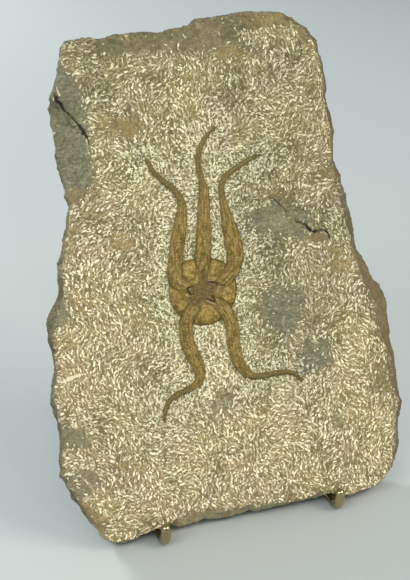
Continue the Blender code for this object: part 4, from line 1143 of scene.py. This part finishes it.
half = HOOK_SPACING / 2.0
rail = Vector(row_points(np.array([RAIL_U_V_W]))[0]) / MM - HOOKS_MIDPOINT
corners = [Vector((-half, 0.0, HOOK_TOP)), Vector((-half, 0.0, WIRE_RADIUS)),
           Vector((-half, STAND_REAR, WIRE_RADIUS)), Vector((-half, rail.y, rail.z))]
corners += [Vector((-p.x, p.y, p.z)) for p in reversed(corners)]
route = rounded_route(corners, [HOOK_BEND, REAR_BEND, RAIL_BEND, RAIL_BEND, REAR_BEND, HOOK_BEND])
stations = domed_tip(route[0], route[1]) + [(p, 1.0) for p in route[1:-1]]
stations += reversed(domed_tip(route[-1], route[-2]))

wire_curve = bpy.data.curves.new("bent_wire", "CURVE")
wire_curve.dimensions = "3D"
wire_curve.bevel_depth = WIRE_RADIUS * MM
wire_curve.bevel_resolution = 6
wire_curve.use_fill_caps = True
spline = wire_curve.splines.new("POLY")
spline.points.add(len(stations) - 1)
for point, (place, size) in zip(spline.points, stations):
    point.co = (*((place + HOOKS_MIDPOINT) * MM), 1.0)
    point.radius = size
only_active(add_object("bent_brass_wire", wire_curve))
bpy.ops.object.convert(target="MESH")
wire = bpy.context.object
edit_all(wire)
bpy.ops.mesh.remove_doubles(threshold=0.01 * MM)
bpy.ops.mesh.normals_make_consistent(inside=False)
to_object_mode()

BRASS = (0.40, 0.33, 0.18, 1.0)
BRASS_TARNISH = (0.20, 0.15, 0.08, 1.0)
# Noises over the wire: wave in millimetres, detail, roughness and shift
TARNISH_NOISE, DULL_NOISE, SCRATCH_NOISE = (6.0, 4.0, 0.65, 2.0), (1.4, 3.0, 0.6, 5.0), (2.0, 2.0, 0.6, 1.0)
SCRATCH_SCALE = (9.0, 9.0, 0.9)
brass, nodes, shader = new_material("drawn_brass")
where = nodes.vector("SCALE", nodes.add("TexCoord").outputs["Object"], Scale=1.0 / MM)
tarnish = nodes.ramp(nodes.noise(where, *TARNISH_NOISE), 0.42, 0.72, 0.0, 0.55)
shader.inputs["Metallic"].default_value = 1.0
nodes.give(shader.inputs["Roughness"], nodes.ramp(nodes.noise(where, *DULL_NOISE), 0.3, 0.7, 0.08, 0.18))
scratches = nodes.noise(nodes.vector("MULTIPLY", where, in1=SCRATCH_SCALE), *SCRATCH_NOISE)
nodes.surface(shader, nodes.mix(tarnish, BRASS, BRASS_TARNISH), scratches, 0.12, 0.04)
finish_mesh(wire.data, brass)
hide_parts("wire_stand")
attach(wire, "root")

# ---------------------------------------------------------------------------------------------------
# The table, light and camera
# A pale table under soft light from both sides in front and from behind, seen from a little above and
# from the left.
# ---------------------------------------------------------------------------------------------------

TABLE_SIZE = 6.0
TABLE_COLOUR = linear(176, 182, 182)
bpy.ops.mesh.primitive_plane_add(size=TABLE_SIZE, location=(0.0, 0.0, 0.0))
table = bpy.context.object
table.name = "table"
pale, nodes, shader = new_material("pale_table")
shader.inputs["Base Color"].default_value = TABLE_COLOUR
shader.inputs["Roughness"].default_value = 0.6
table.data.materials.append(pale)

VIEW_TARGET = Vector((0.00016, 0.0118, 0.060))
VIEW_AZIMUTH = math.radians(19.25)
VIEW_HEIGHT = math.radians(23.0)
VIEW_DISTANCE = 0.338
VIEW_LENS = 44.15


def look_at(thing, target):
    thing.rotation_euler = (thing.location - target).to_track_quat("Z", "Y").to_euler()


towards_camera = Vector((-math.sin(VIEW_AZIMUTH) * math.cos(VIEW_HEIGHT),
                         -math.cos(VIEW_AZIMUTH) * math.cos(VIEW_HEIGHT), math.sin(VIEW_HEIGHT)))
camera = add_object("camera", bpy.data.cameras.new("camera"))
camera.location = VIEW_TARGET + towards_camera * VIEW_DISTANCE
look_at(camera, VIEW_TARGET)
camera.data.sensor_fit = "VERTICAL"
camera.data.sensor_height = 24.0
camera.data.lens = VIEW_LENS
camera.data.clip_start = 0.01
bpy.context.scene.camera = camera

# Square lamps: place, where each points, size in metres, power and tint
LIGHTS = [
    ("warm_light", (0.7, -0.65, 0.85), (0.0, 0.0, 0.06), 0.6, 9.1, (1.0, 0.87, 0.71)),
    ("cool_light", (-0.75, -0.6, 0.8), (0.0, 0.0, 0.06), 0.6, 6.9, (0.92, 0.92, 0.90)),
    ("back_light", (-0.75, 1.4, 0.8), (-0.14, 0.75, 0.0), 0.4, 23.5, (1.0, 0.985, 0.955)),
    ("left_lamp", (-0.16, -0.75, 0.8), (0.0, 0.0, 0.03), 0.09, 1.0, (1.0, 1.0, 1.0)),
    ("right_lamp", (0.10, -0.8, 0.8), (0.0, 0.0, 0.03), 0.07, 0.7, (1.0, 1.0, 1.0)),
]
for name, place, target, size, power, tint in LIGHTS:
    lamp = bpy.data.lights.new(name, "AREA")
    lamp.size = size
    lamp.energy = power
    lamp.color = tint
    made = add_object(name, lamp)
    made.location = place
    look_at(made, Vector(target))

ROOM_COLOUR, ROOM_STRENGTH = (0.80, 0.93, 1.0, 1.0), 0.5
world = bpy.data.worlds.new("soft_room")
bpy.context.scene.world = world
world.use_nodes = True
background = world.node_tree.nodes["Background"]
background.inputs["Color"].default_value = ROOM_COLOUR
background.inputs["Strength"].default_value = ROOM_STRENGTH
bpy.context.scene.view_settings.view_transform = "Standard"
